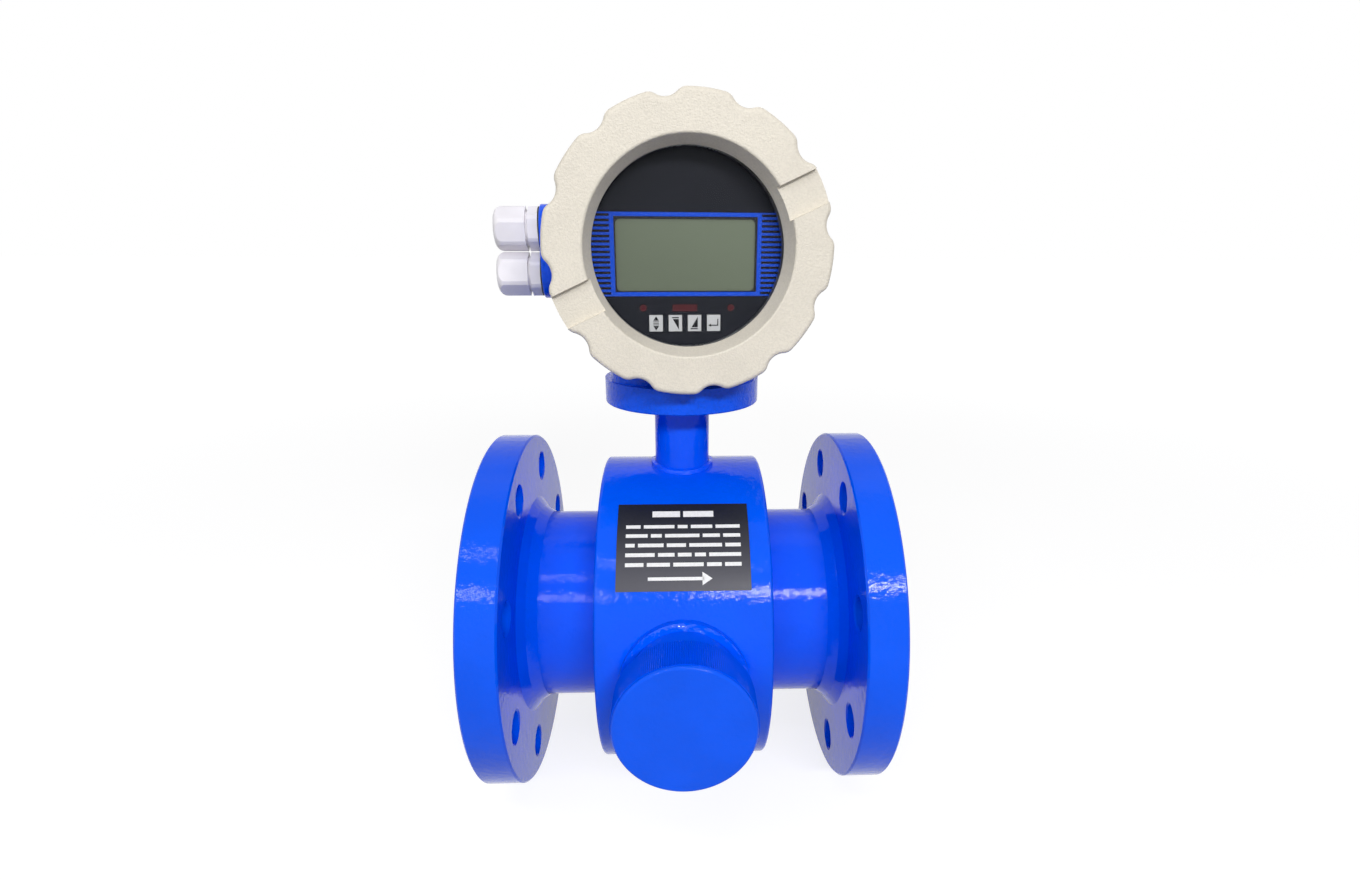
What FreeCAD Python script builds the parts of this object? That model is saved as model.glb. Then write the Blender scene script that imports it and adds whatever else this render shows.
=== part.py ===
"""Electromagnetic flow meter, DN100: a flanged measuring pipe with its coil housing, and a
round converter head on a neck.  Millimetres.  +X is the flow direction, +Z is up, and -Y is
the front, where the display is.  The origin is the centre of the measuring bore."""
import FreeCAD, Part
import math
import os
import re

import Sketcher

DIMENSIONS = (
    # pipe run
    ("face_to_face", "250"),        # sealing face to sealing face
    ("bore_dia", "100"),            # inside of the liner
    ("tube_dia", "118"),
    ("tube_wall", "5"),
    ("flange_dia", "220"),
    ("flange_thick", "22"),
    ("bolt_circle", "180"),
    ("bolt_hole", "18"),
    ("bolt_count", "8"),
    ("raised_face_dia", "158"),
    ("raised_face_step", "3"),
    ("flare_dia", "148"),           # liner turned out over the raised face
    ("flare_thick", "5"),
    ("edge_break", "1"),            # chamfer on machined edges
    ("tool_run", "2"),              # how far a cutting tool runs past the stock
    ("flange_weld_leg", "10"),
    ("weld_hollow", "0.42"),        # middle of a fillet weld, as a share of its leg
    # coil housing
    ("drum_dia", "190.5"),
    ("drum_width", "96.8"),
    ("drum_wall", "4"),
    ("cheek_thick", "5"),
    ("drum_edge_round", "2"),
    ("cheek_weld_leg", "3"),
    ("coil_thick", "14"),
    ("coil_width", "62"),
    ("coil_spread", "100"),         # across the pipe, from side to side
    ("coil_side", "17"),            # width of the winding round its core
    ("yoke_wall", "4"),
    ("yoke_hole", "58"),            # opening for the electrode
    # electrodes and their service caps
    ("electrode_head", "12"),
    ("electrode_head_thick", "3"),
    ("electrode_stem", "5"),
    ("electrode_reach", "74"),      # axis to the end of the stem
    ("sleeve_wall", "2"),
    ("sleeve_flange", "16"),
    ("nut_across", "10"),
    ("nut_thick", "4"),
    ("stub_dia", "63"),
    ("stub_wall", "5"),
    ("stub_sink", "11.25"),         # length of a stub inside the coil housing
    ("stub_weld_width", "4"),
    ("stub_weld_rise", "4"),
    ("cap_stand", "38.15"),         # coil housing to the cap's outer face
    ("cap_dia", "72.5"),
    ("cap_depth", "23.4"),
    ("cap_top", "4"),
    ("cap_round", "1.6"),
    ("cap_gasket_thick", "2"),
    ("cap_gasket_width", "5"),
    # neck
    ("neck_dia", "33.4"),
    ("neck_wall", "3.2"),
    ("neck_sink", "7.25"),          # length of the neck inside the coil housing
    ("neck_weld_width", "2.5"),
    ("neck_weld_rise", "2.5"),
    ("neck_plate_dia", "80"),
    ("neck_plate_thick", "8"),
    ("neck_screw", "5"),
    ("neck_screw_head", "8.5"),
    ("neck_screw_circle", "60"),
    ("neck_screw_count", "4"),
    ("neck_screw_grip", "8"),       # length in the housing's floor
    ("head_gasket_thick", "1.5"),
    # converter housing
    ("head_height", "224"),         # bore axis to head axis
    ("head_turn", "3.9"),           # degrees, front of the head towards +X
    ("foot_dia", "92"),
    ("foot_drop", "23.7"),          # underside of the foot below the barrel
    ("foot_height", "14.5"),
    ("foot_floor", "9"),
    ("casting_round", "1"),
    ("pedestal_length", "84"),
    ("pedestal_width", "64"),
    ("pedestal_corner", "20"),
    ("pedestal_wall", "6"),
    ("barrel_dia", "128"),
    ("barrel_length", "69.4"),
    ("collar_rise", "2.5"),
    ("collar_length", "8"),
    ("partition_thick", "4"),
    ("partition_offset", "-4"),     # middle of the partition, along the head axis
    ("wire_hole", "14"),
    ("wire_hole_drop", "34.85"),    # below the head axis
    ("boss_stand", "14.5"),         # barrel to the face of the entry boss
    ("boss_width", "34"),
    ("boss_height", "51.3"),
    ("boss_drop", "1.7"),           # boss centre below the head axis
    ("boss_offset", "5"),           # boss centre behind the middle of the barrel
    ("boss_corner", "15"),
    ("boss_root", "30"),            # head axis to the buried end of the boss
    # covers
    ("cover_overhang", "5.5"),     # beyond the barrel's collars
    ("cover_depth", "30"),
    ("rear_cover_depth", "26"),
    ("cover_gap", "0.3"),           # cover to barrel face
    ("cover_round", "2.4"),
    ("scallop_count", "12"),
    ("scallop_depth", "3.6"),
    ("scallop_rad", "9"),
    ("scallop_phase", "9"),         # degrees from +X to the first scallop
    ("scallop_round", "6"),
    ("slot_width", "17"),
    ("slot_depth", "3.5"),
    ("slot_angle", "25"),
    ("opening_flare", "3.7"),       # widening of the opening towards the front
    ("opening_round", "1.2"),
    ("throat_step", "4.9"),         # ledge that the glass is seated on
    ("throat_depth", "11.2"),
    ("throat_land", "1"),
    ("barrel_wall", "6"),           # over the screw threads
    ("thread_length", "12"),
    ("skirt_wall", "4.5"),
    ("rear_face_wall", "6"),
    ("rear_dish_rim", "19.25"),
    ("rear_dish_depth", "2"),
    ("oring_section", "2.4"),
    ("glass_thick", "5"),
    ("glass_gasket_thick", "1"),
    ("retainer_thick", "3"),
    ("retainer_wall", "4.5"),
    # display and electronics
    ("panel_clear", "7"),           # panel to the barrel's bore
    ("panel_thick", "2"),
    ("panel_gap", "1"),             # behind the glass retainer
    ("lcd_length", "74"),
    ("lcd_height", "37"),
    ("lcd_drop", "2.5"),            # centre below the head axis
    ("lcd_shift", "-0.4"),
    ("lcd_recess", "0.4"),
    ("key_length", "7.1"),
    ("key_height", "8.5"),
    ("key_pitch", "10.2"),
    ("key_margin", "13.5"),         # middle of a key to the panel's lower edge
    ("key_shift", "-1.3"),          # middle of the row of keys
    ("key_stand", "0.8"),           # above the panel
    ("key_travel", "0.4"),
    ("lamp_dia", "3.6"),
    ("lamp_spread", "46.4"),
    ("lamp_length", "13"),
    ("lamp_height", "3.5"),
    ("lamp_lift", "7.9"),           # above the keys
    ("board_clear", "8"),
    ("board_thick", "1.6"),
    ("board_gap", "4.6"),           # panel to display board
    ("main_board_gap", "14"),       # display board to main board
    ("pillar_dia", "5"),
    ("pillar_inset", "7"),
    ("pillar_count", "4"),
    ("pillar_phase", "45"),
    ("transformer_length", "30"),
    ("transformer_height", "24"),
    ("transformer_depth", "8"),
    ("terminal_length", "72"),
    ("terminal_height", "16"),
    ("terminal_depth", "13"),
    ("terminal_count", "8"),
    ("terminal_screw", "5"),
    ("terminal_screw_stand", "1.5"),
    # cable glands
    ("gland_pitch", "24.7"),
    ("gland_thread", "20"),
    ("gland_thread_length", "10"),
    ("gland_across", "22"),         # flats of the body
    ("gland_corner_dia", "24.2"),
    ("gland_hex_length", "5.6"),
    ("gland_washer_thick", "1.2"),
    ("gland_nose_dia", "18.6"),     # thread that the nut runs on
    ("gland_nose_length", "11"),
    ("gland_bore", "14"),
    ("nut_gap", "1.4"),
    ("nut_length", "17.6"),
    ("nut_dome", "4.5"),
    ("nut_mouth", "14.4"),
    ("nut_lip", "2"),
    ("seal_bore", "12"),
    ("seal_dia", "17"),
    ("upper_nut_turn", "10"),
    ("lower_nut_turn", "-8"),
    # label
    ("label_length", "73"),
    ("label_start_angle", "28.1"),        # degrees from the top, towards the front
    ("label_arc_angle", "31.2"),
    ("label_thick", "0.4"),
    # clearances
    ("seat_gap", "0.15"),           # round pieces that are welded, pressed or laid together
    ("thread_gap", "0.08"),         # running threads, drawn as plain cylinders
    ("slide_gap", "0.15"),          # round each key
)

# Sizes that follow from the ones above.
DERIVED = {
    "foot_bottom": "head_height - barrel_dia / 2 - foot_drop",
    "neck_root": "drum_rad - neck_sink",
    "stub_root": "drum_rad - stub_sink",
    "cap_face": "drum_rad + cap_stand",
    "collar_dia": "barrel_dia + 2 * collar_rise",
    "cover_dia": "collar_dia + 2 * cover_overhang",
    "boss_reach": "barrel_dia / 2 + boss_stand",
    "thread_dia": "barrel_dia - 2 * barrel_wall",
    "skirt_bore": "thread_dia - 2 * skirt_wall",
    "throat_dia": "skirt_bore - 2 * throat_step",
    "opening_dia": "throat_dia + 2 * opening_flare",
    "retainer_bore": "skirt_bore - 2 * retainer_wall",
    "rear_dish_dia": "cover_dia - 2 * rear_dish_rim",
    "panel_dia": "thread_dia - 2 * panel_clear",
    "board_dia": "thread_dia - 2 * board_clear",
    "pillar_circle": "panel_dia - 2 * pillar_inset",
    "key_drop": "panel_dia / 2 - key_margin",
    "lamp_drop": "key_drop - lamp_lift",
    "tube_rad": "tube_dia / 2",
    "tube_bore_rad": "tube_rad - tube_wall",
    "flare_face": "face_to_face / 2 - flare_thick",
    "disc_face": "flare_face - raised_face_step",
    "disc_back": "disc_face - flange_thick",
    "drum_rad": "drum_dia / 2",
    "drum_half": "drum_width / 2",
    "band_half": "drum_half - cheek_thick",
    "coil_floor": "tube_rad + 2 * seat_gap",
    "coil_roof": "coil_floor + coil_thick",
    "yoke_rad": "coil_roof + seat_gap",
    "stub_end": "cap_face - cap_top - cap_gasket_thick",
    "stub_rad": "stub_dia / 2",
    "neck_rad": "neck_dia / 2",
    "plate_top": "foot_bottom + neck_plate_thick",
    "floor_low": "plate_top + head_gasket_thick - head_height",
    "foot_low": "foot_bottom - head_height",
    "foot_top": "foot_low + foot_height",
    "barrel_half": "barrel_length / 2",
    "barrel_bore_rad": "thread_dia / 2 + thread_gap",
    "cover_back": "barrel_half + cover_gap",
    "cover_front": "cover_back + cover_depth",
    "rear_front": "cover_back + rear_cover_depth",
    "glass_seat": "cover_front - throat_depth - throat_land",
    "glass_face": "glass_seat - glass_gasket_thick",
    "glass_back": "glass_face - glass_thick",
    "panel_face": "glass_back - retainer_thick - panel_gap",
    "panel_back": "panel_face - panel_thick",
    "board_face": "panel_back - board_gap",
    "board_back": "board_face - board_thick",
    "main_face": "board_back - main_board_gap",
    "main_back": "main_face - board_thick",
    "wall_front": "-partition_offset + partition_thick / 2",
    "wall_back": "-partition_offset - partition_thick / 2",
    "nut_root": "boss_reach + gland_washer_thick + gland_hex_length + nut_gap",
    "nut_tip": "nut_root + nut_length",
    "nose_tip": "nut_root - nut_gap + gland_nose_length",
    "gland_reach": "nut_tip",
    "seal_tip": "nut_tip - nut_lip",
    "glass_rad": "skirt_bore / 2 - seat_gap",
    "groove_rad": "thread_dia / 2 + oring_section + 2 * seat_gap",
    "groove_back": "barrel_half + oring_section + seat_gap",
    "cap_rear": "cap_face - cap_depth",
    "cap_inside": "cap_face - cap_top",
    "floor_top": "floor_low + foot_floor",
    "plate_rad": "neck_plate_dia / 2",
}

document = FreeCAD.newDocument("FlowMeter")
sheet = document.addObject("Spreadsheet::Sheet", "Sizes")
for row, (alias, value) in enumerate(DIMENSIONS, start=1):
    sheet.set(f"A{row}", alias)
    sheet.set(f"B{row}", value)
    sheet.setAlias(f"B{row}", alias)
document.recompute()
ALIASES = {alias for alias, _ in DIMENSIONS}
PIECES = []


def formula(text):
    """Write a size in the sheet's terms: derived names spelt out, aliases with the sheet's name."""
    def spell(match):
        word = match.group(0)
        if word in DERIVED:
            return "(" + formula(DERIVED[word]) + ")"
        return "Sizes." + word if word in ALIASES else word
    return re.sub(r"[a-z_]+", spell, str(text))


def number(text):
    """The present value of a formula."""
    value = sheet.evalExpression(formula(text))
    return float(getattr(value, "Value", value))


def in_head(item):
    """Carry an item in the head's own frame: raised to the head axis and turned about +Z."""
    place = "placement(vector(0; 0; head_height); rotation(vector(0; 0; 1); head_turn))"
    item.setExpression("Placement", formula(place))


def piece(item, label, carrier=None):
    """Name an item as a sub-part of the meter."""
    item.Label = label
    if carrier:
        carrier(item)
    PIECES.append(item)
    return item


# ---- sketches -------------------------------------------------------------------------------

def sketch_on(body, role, offset=None):
    """A sketch on one of the body's own origin planes, moved along the plane's normal."""
    sketch = body.newObject("Sketcher::SketchObject", body.Label + "_sketch")
    support = next(item for item in body.Origin.OriginFeatures if item.Role == role)
    sketch.AttachmentSupport = [(support, "")]
    sketch.MapMode = "FlatFace"
    if offset:
        sketch.setExpression("AttachmentOffset.Base.z", formula(offset))
    return sketch


def hold(sketch, kind, *where, size):
    """Add one driving dimension to a sketch and bind it to a formula."""
    index = sketch.addConstraint(Sketcher.Constraint(kind, *where, number(size)))
    sketch.setExpression(f"Constraints[{index}]", formula(size))


def outline(sketch, corners):
    """A closed outline of straight sides, each corner held by two formulas."""
    points = [FreeCAD.Vector(number(u), number(v), 0) for u, v in corners]
    first = sketch.GeometryCount
    count = len(points)
    for index in range(count):
        side = Part.LineSegment(points[index], points[(index + 1) % count])
        sketch.addGeometry(side, False)
    for index in range(count):
        following = first + (index + 1) % count
        sketch.addConstraint(Sketcher.Constraint("Coincident", first + index, 2, following, 1))
    for index, (u, v) in enumerate(corners):
        hold(sketch, "DistanceX", -1, 1, first + index, 1, size=u)
        hold(sketch, "DistanceY", -1, 1, first + index, 1, size=v)
    return sketch


def rectangle(sketch, u, v, length, height):
    """A rectangle about the point u, v."""
    low_u, high_u = f"{u} - ({length}) / 2", f"{u} + ({length}) / 2"
    low_v, high_v = f"{v} - ({height}) / 2", f"{v} + ({height}) / 2"
    return outline(sketch, ((low_u, low_v), (high_u, low_v), (high_u, high_v), (low_u, high_v)))


def circle(sketch, u, v, radius):
    """A circle about the point u, v."""
    centre = FreeCAD.Vector(number(u), number(v), 0)
    index = sketch.addGeometry(Part.Circle(centre, FreeCAD.Vector(0, 0, 1), number(radius)))
    hold(sketch, "DistanceX", -1, 1, index, 3, size=u)
    hold(sketch, "DistanceY", -1, 1, index, 3, size=v)
    hold(sketch, "Radius", index, size=radius)
    return sketch


def rounded(sketch, u, v, length, height, corner):
    """A rectangle with round corners about the point u, v."""
    half_u, half_v = f"({length}) / 2", f"({height}) / 2"
    quarters = ((1, 1), (-1, 1), (-1, -1), (1, -1))
    arcs = []
    for step, (east, north) in enumerate(quarters):
        centre = (f"{u} + {east} * ({half_u} - ({corner}))", f"{v} + {north} * ({half_v} - ({corner}))")
        middle = FreeCAD.Vector(number(centre[0]), number(centre[1]), 0)
        round_edge = Part.Circle(middle, FreeCAD.Vector(0, 0, 1), number(corner))
        sweep = (step * math.pi / 2, (step + 1) * math.pi / 2)
        arcs.append(sketch.addGeometry(Part.ArcOfCircle(round_edge, *sweep), False))
        hold(sketch, "DistanceX", -1, 1, arcs[-1], 3, size=centre[0])
        hold(sketch, "DistanceY", -1, 1, arcs[-1], 3, size=centre[1])
    hold(sketch, "Radius", arcs[0], size=corner)
    for arc in arcs[1:]:
        sketch.addConstraint(Sketcher.Constraint("Equal", arcs[0], arc))
    for step, arc in enumerate(arcs):
        following = arcs[(step + 1) % 4]
        ends = [sketch.Geometry[arc].EndPoint, sketch.Geometry[following].StartPoint]
        side = sketch.addGeometry(Part.LineSegment(*ends), False)
        sketch.addConstraint(Sketcher.Constraint("Tangent", arc, 2, side, 1))
        sketch.addConstraint(Sketcher.Constraint("Tangent", side, 2, following, 1))
    return sketch


# ---- features -------------------------------------------------------------------------------

def new_body(label, carrier=None):
    body = document.addObject("PartDesign::Body", label)
    return piece(body, label, carrier)


def extrude(body, kind, sketch, length, reverse=False, middle=False):
    feature = body.newObject("PartDesign::" + kind, f"{body.Label}_{kind}")
    feature.Profile = sketch
    feature.setExpression("Length", formula(length))
    feature.Reversed = reverse
    if middle:
        feature.SideType = "Symmetric"
    sketch.Visibility = False
    return feature


def pad(body, sketch, length, **how):
    return extrude(body, "Pad", sketch, length, **how)


def pocket(body, sketch, length, **how):
    return extrude(body, "Pocket", sketch, length, **how)


def turn(body, sketch, kind="Revolution", axis="H_Axis"):
    """Turn a sketch fully about one of its own axes, adding or cutting."""
    feature = body.newObject("PartDesign::" + kind, f"{body.Label}_{kind}")
    feature.Profile = sketch
    feature.ReferenceAxis = (sketch, [axis])
    feature.Angle = 360
    return feature


def repeat_round(body, feature, role, count):
    """Repeat a feature evenly round one of the body's origin axes."""
    axis = next(item for item in body.Origin.OriginFeatures if item.Role == role)
    pattern = body.newObject("PartDesign::PolarPattern", body.Label + "_pattern")
    pattern.Originals = [feature]
    pattern.Axis = (axis, [""])
    pattern.Angle = 360
    pattern.setExpression("Occurrences", formula(count))
    body.Tip = pattern
    return pattern


def dress(body, kind, size, wanted):
    """Round or chamfer the edges of the body's last feature that the test picks out."""
    document.recompute()
    base = body.Tip
    names = [f"Edge{index}" for index, edge in enumerate(base.Shape.Edges, start=1) if wanted(edge)]
    feature = body.newObject("PartDesign::" + kind, f"{body.Label}_{kind}")
    feature.Base = (base, names)
    feature.setExpression("Radius" if kind == "Fillet" else "Size", formula(size))
    return feature


def is_circle(edge, radius, axis=None, at=None):
    """Whether an edge is an arc or circle of this radius, lying at a place along an axis."""
    curve = edge.Curve
    if not isinstance(curve, Part.Circle) or abs(curve.Radius - number(radius)) > 0.01:
        return False
    return axis is None or abs(getattr(edge.CenterOfMass, axis) - number(at)) < 0.01


def turned(label, corners, along="X", carrier=None):
    """A piece turned from corners given as (place along the axis, radius)."""
    body = new_body(label, carrier)
    role = {"X": "XZ_Plane", "Y": "YZ_Plane", "Z": "XZ_Plane"}[along]
    sketch = sketch_on(body, role)
    if along == "Z":
        outline(sketch, [(radius, place) for place, radius in corners])
        turn(body, sketch, axis="V_Axis")
    else:
        outline(sketch, corners)
        turn(body, sketch)
    return body


def ring_corners(low, high, inner, outer):
    return ((low, inner), (high, inner), (high, outer), (low, outer))


# ---- primitives and booleans ---------------------------------------------------------------

AXES = {
    "X": (FreeCAD.Vector(1, 0, 0), FreeCAD.Vector(0, 0, 1)),
    "Y": (FreeCAD.Vector(0, 1, 0), FreeCAD.Vector(0, 0, 1)),
    "Z": (FreeCAD.Vector(0, 0, 1), FreeCAD.Vector(1, 0, 0)),
}


def lay(item, length, direction, middle, at):
    """Lay a bar along X, Y or Z with the middle of its length and its axis at given places."""
    axis, start = AXES[direction]
    item.Placement.Rotation = FreeCAD.Rotation(start, axis.cross(start), axis, "ZXY")
    across = [name for name in "xyz" if name != direction.lower()]
    item.setExpression("Placement.Base." + direction.lower(), formula(f"({middle}) - ({length}) / 2"))
    for name, place in zip(across, at):
        item.setExpression("Placement.Base." + name, formula(place))
    return item


def rod(radius, length, direction, middle="0", at=("0", "0"), arc="360"):
    """A round bar.  With an arc it is a sector, and along X that starts from the top, +Z, and
    runs towards the front, -Y."""
    item = document.addObject("Part::Cylinder", "rod")
    item.setExpression("Radius", formula(radius))
    item.setExpression("Height", formula(length))
    item.setExpression("Angle", formula(arc))
    return lay(item, length, direction, middle, at)


def hexagon(across, length, direction, middle="0", at=("0", "0")):
    """A six-sided bar by its width across flats, with two of its flats level along X."""
    item = document.addObject("Part::Prism", "hexagon")
    item.Polygon = 6
    item.setExpression("Circumradius", formula(f"{across} / 2 / cos(30)"))
    item.setExpression("Height", formula(length))
    return lay(item, length, direction, middle, at)


def block(length, width, height, x, y, z):
    """A box about the point x, y, z."""
    item = document.addObject("Part::Box", "block")
    for size, name in ((length, "Length"), (width, "Width"), (height, "Height")):
        item.setExpression(name, formula(size))
    for place, size, axis in ((x, length, "x"), (y, width, "y"), (z, height, "z")):
        item.setExpression("Placement.Base." + axis, formula(f"({place}) - ({size}) / 2"))
    return item


def combine(kind, base, tool):
    item = document.addObject("Part::" + kind, kind.lower())
    item.Base = base
    item.Tool = tool
    return item


def gather(label, items, carrier=None):
    """Several separate solids under one name."""
    group = document.addObject("Part::Compound", label)
    group.Links = items
    return piece(group, label, carrier)


# ---- measuring pipe -------------------------------------------------------------------------

def towards(hand, place):
    """A place along X on the inlet side, hand -1, or the outlet side, hand 1."""
    return f"{hand} * ({place})"


def bore_across(body, radius, role="XZ_Plane"):
    """Drill straight through a body, from side to side of the housing."""
    pocket(body, circle(sketch_on(body, role), "0", "0", radius), "2 * cap_face", middle=True)


def measuring_tube():
    tube = turned("measuring_tube", ring_corners("-flare_face", "flare_face", "tube_bore_rad", "tube_rad"))
    bore_across(tube, "electrode_stem / 2 + sleeve_wall + 2 * seat_gap")


def flow_liner():
    end = "face_to_face / 2"
    outside = "tube_bore_rad - seat_gap"
    corners = [("-" + end, "bore_dia / 2"), (end, "bore_dia / 2"), (end, "flare_dia / 2"),
               ("flare_face", "flare_dia / 2"), ("flare_face", outside), ("-flare_face", outside),
               ("-flare_face", "flare_dia / 2"), ("-" + end, "flare_dia / 2")]
    liner = turned("flow_liner", corners)
    bore_across(liner, "electrode_head / 2 + seat_gap")


def flange(label, hand):
    bore = "tube_rad + seat_gap"
    corners = [("disc_back", bore), ("flare_face", bore), ("flare_face", "raised_face_dia / 2"),
               ("disc_face", "raised_face_dia / 2"), ("disc_face", "flange_dia / 2"),
               ("disc_back", "flange_dia / 2")]
    disc = turned(label, [(towards(hand, place), radius) for place, radius in corners])
    half_step = "(180 / bolt_count)"
    sketch = sketch_on(disc, "YZ_Plane")
    circle(sketch, f"bolt_circle / 2 * sin({half_step})", f"bolt_circle / 2 * cos({half_step})", "bolt_hole / 2")
    hole = pocket(disc, sketch, "2 * face_to_face", middle=True)
    repeat_round(disc, hole, "X_Axis", "bolt_count")

    def sharp(edge):
        faces = [towards(hand, place) for place in ("disc_back", "disc_face")]
        rims = ("flange_dia / 2", "bolt_hole / 2")
        return any(is_circle(edge, rim, "x", face) for face in faces for rim in rims)

    dress(disc, "Chamfer", "edge_break", sharp)


def fillet_weld(label, root, leg, hands):
    """A fillet weld round the tube against each of two plates."""
    beads = []
    for hand in hands:
        bead = document.addObject("PartDesign::Body", label + "_bead")
        corners = [(f"{root} - {leg}", "tube_rad + seat_gap"), (root, "tube_rad + seat_gap"),
                   (root, f"tube_rad + {leg}"),
                   (f"{root} - {leg} * weld_hollow", f"tube_rad + {leg} * weld_hollow")]
        sketch = outline(sketch_on(bead, "XZ_Plane"), [(towards(hand, x), radius) for x, radius in corners])
        turn(bead, sketch)
        beads.append(bead)
    gather(label, beads)


# ---- coil housing ---------------------------------------------------------------------------

def coil_band():
    band = turned("coil_housing_band", ring_corners("-band_half", "band_half", "drum_rad - drum_wall", "drum_rad"))
    bore_across(band, "stub_rad + seat_gap")
    sketch = circle(sketch_on(band, "XY_Plane"), "0", "0", "neck_rad + seat_gap")
    pocket(band, sketch, "drum_dia", reverse=True)


def cheek(label, hand):
    corners = ring_corners("band_half", "drum_half", "tube_rad + seat_gap", "drum_rad")
    plate = turned(label, [(towards(hand, place), radius) for place, radius in corners])
    outer = towards(hand, "drum_half")
    dress(plate, "Fillet", "drum_edge_round", lambda edge: is_circle(edge, "drum_rad", "x", outer))


def shell(inner, outer, length):
    return combine("Cut", rod(outer, length, "X"), rod(inner, f"({length}) + tool_run", "X"))


def coil(side, hand):
    """A saddle coil wound round its iron core, above the pipe or below it."""
    middle = f"{hand} * coil_roof / 2"
    winding = combine("Common", shell("coil_floor", "coil_roof", "coil_width"),
                      block("coil_width", "coil_spread", "coil_roof", "0", "0", middle))
    window = ("coil_width - 2 * coil_side", "coil_spread - 2 * coil_side")
    piece(combine("Cut", winding, block(*window, "2 * coil_roof", "0", "0", middle)), "coil_" + side)
    smaller = [f"{size} - 2 * seat_gap" for size in window]
    core = combine("Common", shell("coil_floor", "coil_roof", "coil_width"),
                   block(*smaller, "coil_roof", "0", "0", middle))
    piece(core, "pole_core_" + side)


def yoke():
    band = shell("yoke_rad", "yoke_rad + yoke_wall", "coil_width")
    piece(combine("Cut", band, rod("yoke_hole / 2", "drum_dia", "Y")), "yoke_band")


def saddle_weld(radius, width, rise, direction, middle):
    """A weld bead round a pipe that stands on the coil housing."""
    inner = f"{radius} + seat_gap"
    ring = combine("Cut", rod(f"{radius} + {width}", "drum_rad", direction, middle),
                   rod(inner, "drum_dia", direction, middle))
    bead = combine("Common", ring, rod(f"drum_rad + {rise}", "drum_width", "X"))
    return combine("Cut", bead, rod("drum_rad + seat_gap", "drum_dia", "X"))


# ---- electrodes and their caps --------------------------------------------------------------

def facing(hand, corners):
    """Corners of a piece turned along Y, in front, hand -1, or behind, hand 1."""
    return [(f"{hand} * ({place})", radius) for place, radius in corners]


def electrode(side, hand):
    start = "bore_dia / 2"
    head, stem = "electrode_head / 2", "electrode_stem / 2"
    shoulder = f"{start} + electrode_head_thick"
    corners = [(start, "0"), (start, head), (shoulder, head), (shoulder, stem),
               ("electrode_reach", stem), ("electrode_reach", "0")]
    turned("electrode_" + side, facing(hand, corners), "Y")


def electrode_sleeve(hand):
    inner, outer = "electrode_stem / 2 + seat_gap", "electrode_stem / 2 + sleeve_wall"
    start = "bore_dia / 2 + electrode_head_thick + seat_gap"
    seat = "tube_rad + seat_gap"
    top = f"{seat} + sleeve_wall"
    corners = [(start, inner), (start, outer), (seat, outer), (seat, "sleeve_flange / 2"),
               (top, "sleeve_flange / 2"), (top, inner)]
    sleeve = document.addObject("PartDesign::Body", "sleeve")
    turn(sleeve, outline(sketch_on(sleeve, "YZ_Plane"), facing(hand, corners)))
    return sleeve


def electrode_nut(hand):
    middle = f"{hand} * (tube_rad + seat_gap + sleeve_wall + nut_thick / 2)"
    blank = hexagon("nut_across", "nut_thick", "Y", middle)
    return combine("Cut", blank, rod("electrode_stem / 2 + seat_gap", "2 * nut_thick", "Y", middle))


def service_port(side, hand):
    """The pipe stub over an electrode, its screwed cap and the gasket between them."""
    corners = ring_corners("stub_root", "stub_end", "stub_rad - stub_wall", "stub_rad")
    turned("stub_" + side, facing(hand, corners), "Y")
    corners = ring_corners("stub_end", "cap_inside", "stub_rad - cap_gasket_width", "stub_rad")
    turned("cap_gasket_" + side, facing(hand, corners), "Y")
    bore = "stub_rad + thread_gap"
    corners = [("cap_rear", bore), ("cap_inside", bore), ("cap_inside", "0"), ("cap_face", "0"),
               ("cap_face", "cap_dia / 2"), ("cap_rear", "cap_dia / 2")]
    cap = turned("electrode_cap_" + side, facing(hand, corners), "Y")
    face, rear = f"{hand} * cap_face", f"{hand} * cap_rear"
    dress(cap, "Fillet", "cap_round", lambda edge: is_circle(edge, "cap_dia / 2", "y", face))
    dress(cap, "Chamfer", "edge_break / 2", lambda edge: is_circle(edge, "cap_dia / 2", "y", rear))


# ---- neck -----------------------------------------------------------------------------------

def neck():
    turned("neck_pipe", ring_corners("neck_root", "plate_top", "neck_rad - neck_wall", "neck_rad"), "Z")
    plate = turned("neck_plate", ring_corners("foot_bottom", "plate_top", "neck_rad + seat_gap", "plate_rad"), "Z",
                   turned_with_head)
    drill_for_screws(plate, "neck_screw / 2 + seat_gap")
    sketch = circle(sketch_on(plate, "XY_Plane", "foot_bottom"), "neck_screw_circle / 2", "0",
                    "neck_screw_head / 2 + seat_gap")
    repeat_round(plate, pocket(plate, sketch, "neck_screw", reverse=True), "Z_Axis", "neck_screw_count")
    gasket = turned("head_gasket", ring_corners("plate_top", "plate_top + head_gasket_thick", "neck_rad", "plate_rad"),
                    "Z", turned_with_head)
    drill_for_screws(gasket, "neck_screw / 2 + seat_gap")


def turned_with_head(item):
    item.setExpression("Placement", formula("placement(vector(0; 0; 0); rotation(vector(0; 0; 1); head_turn))"))


def drill_for_screws(body, radius):
    sketch = circle(sketch_on(body, "XY_Plane"), "neck_screw_circle / 2", "0", radius)
    repeat_round(body, pocket(body, sketch, "2 * head_height", middle=True), "Z_Axis", "neck_screw_count")


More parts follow.
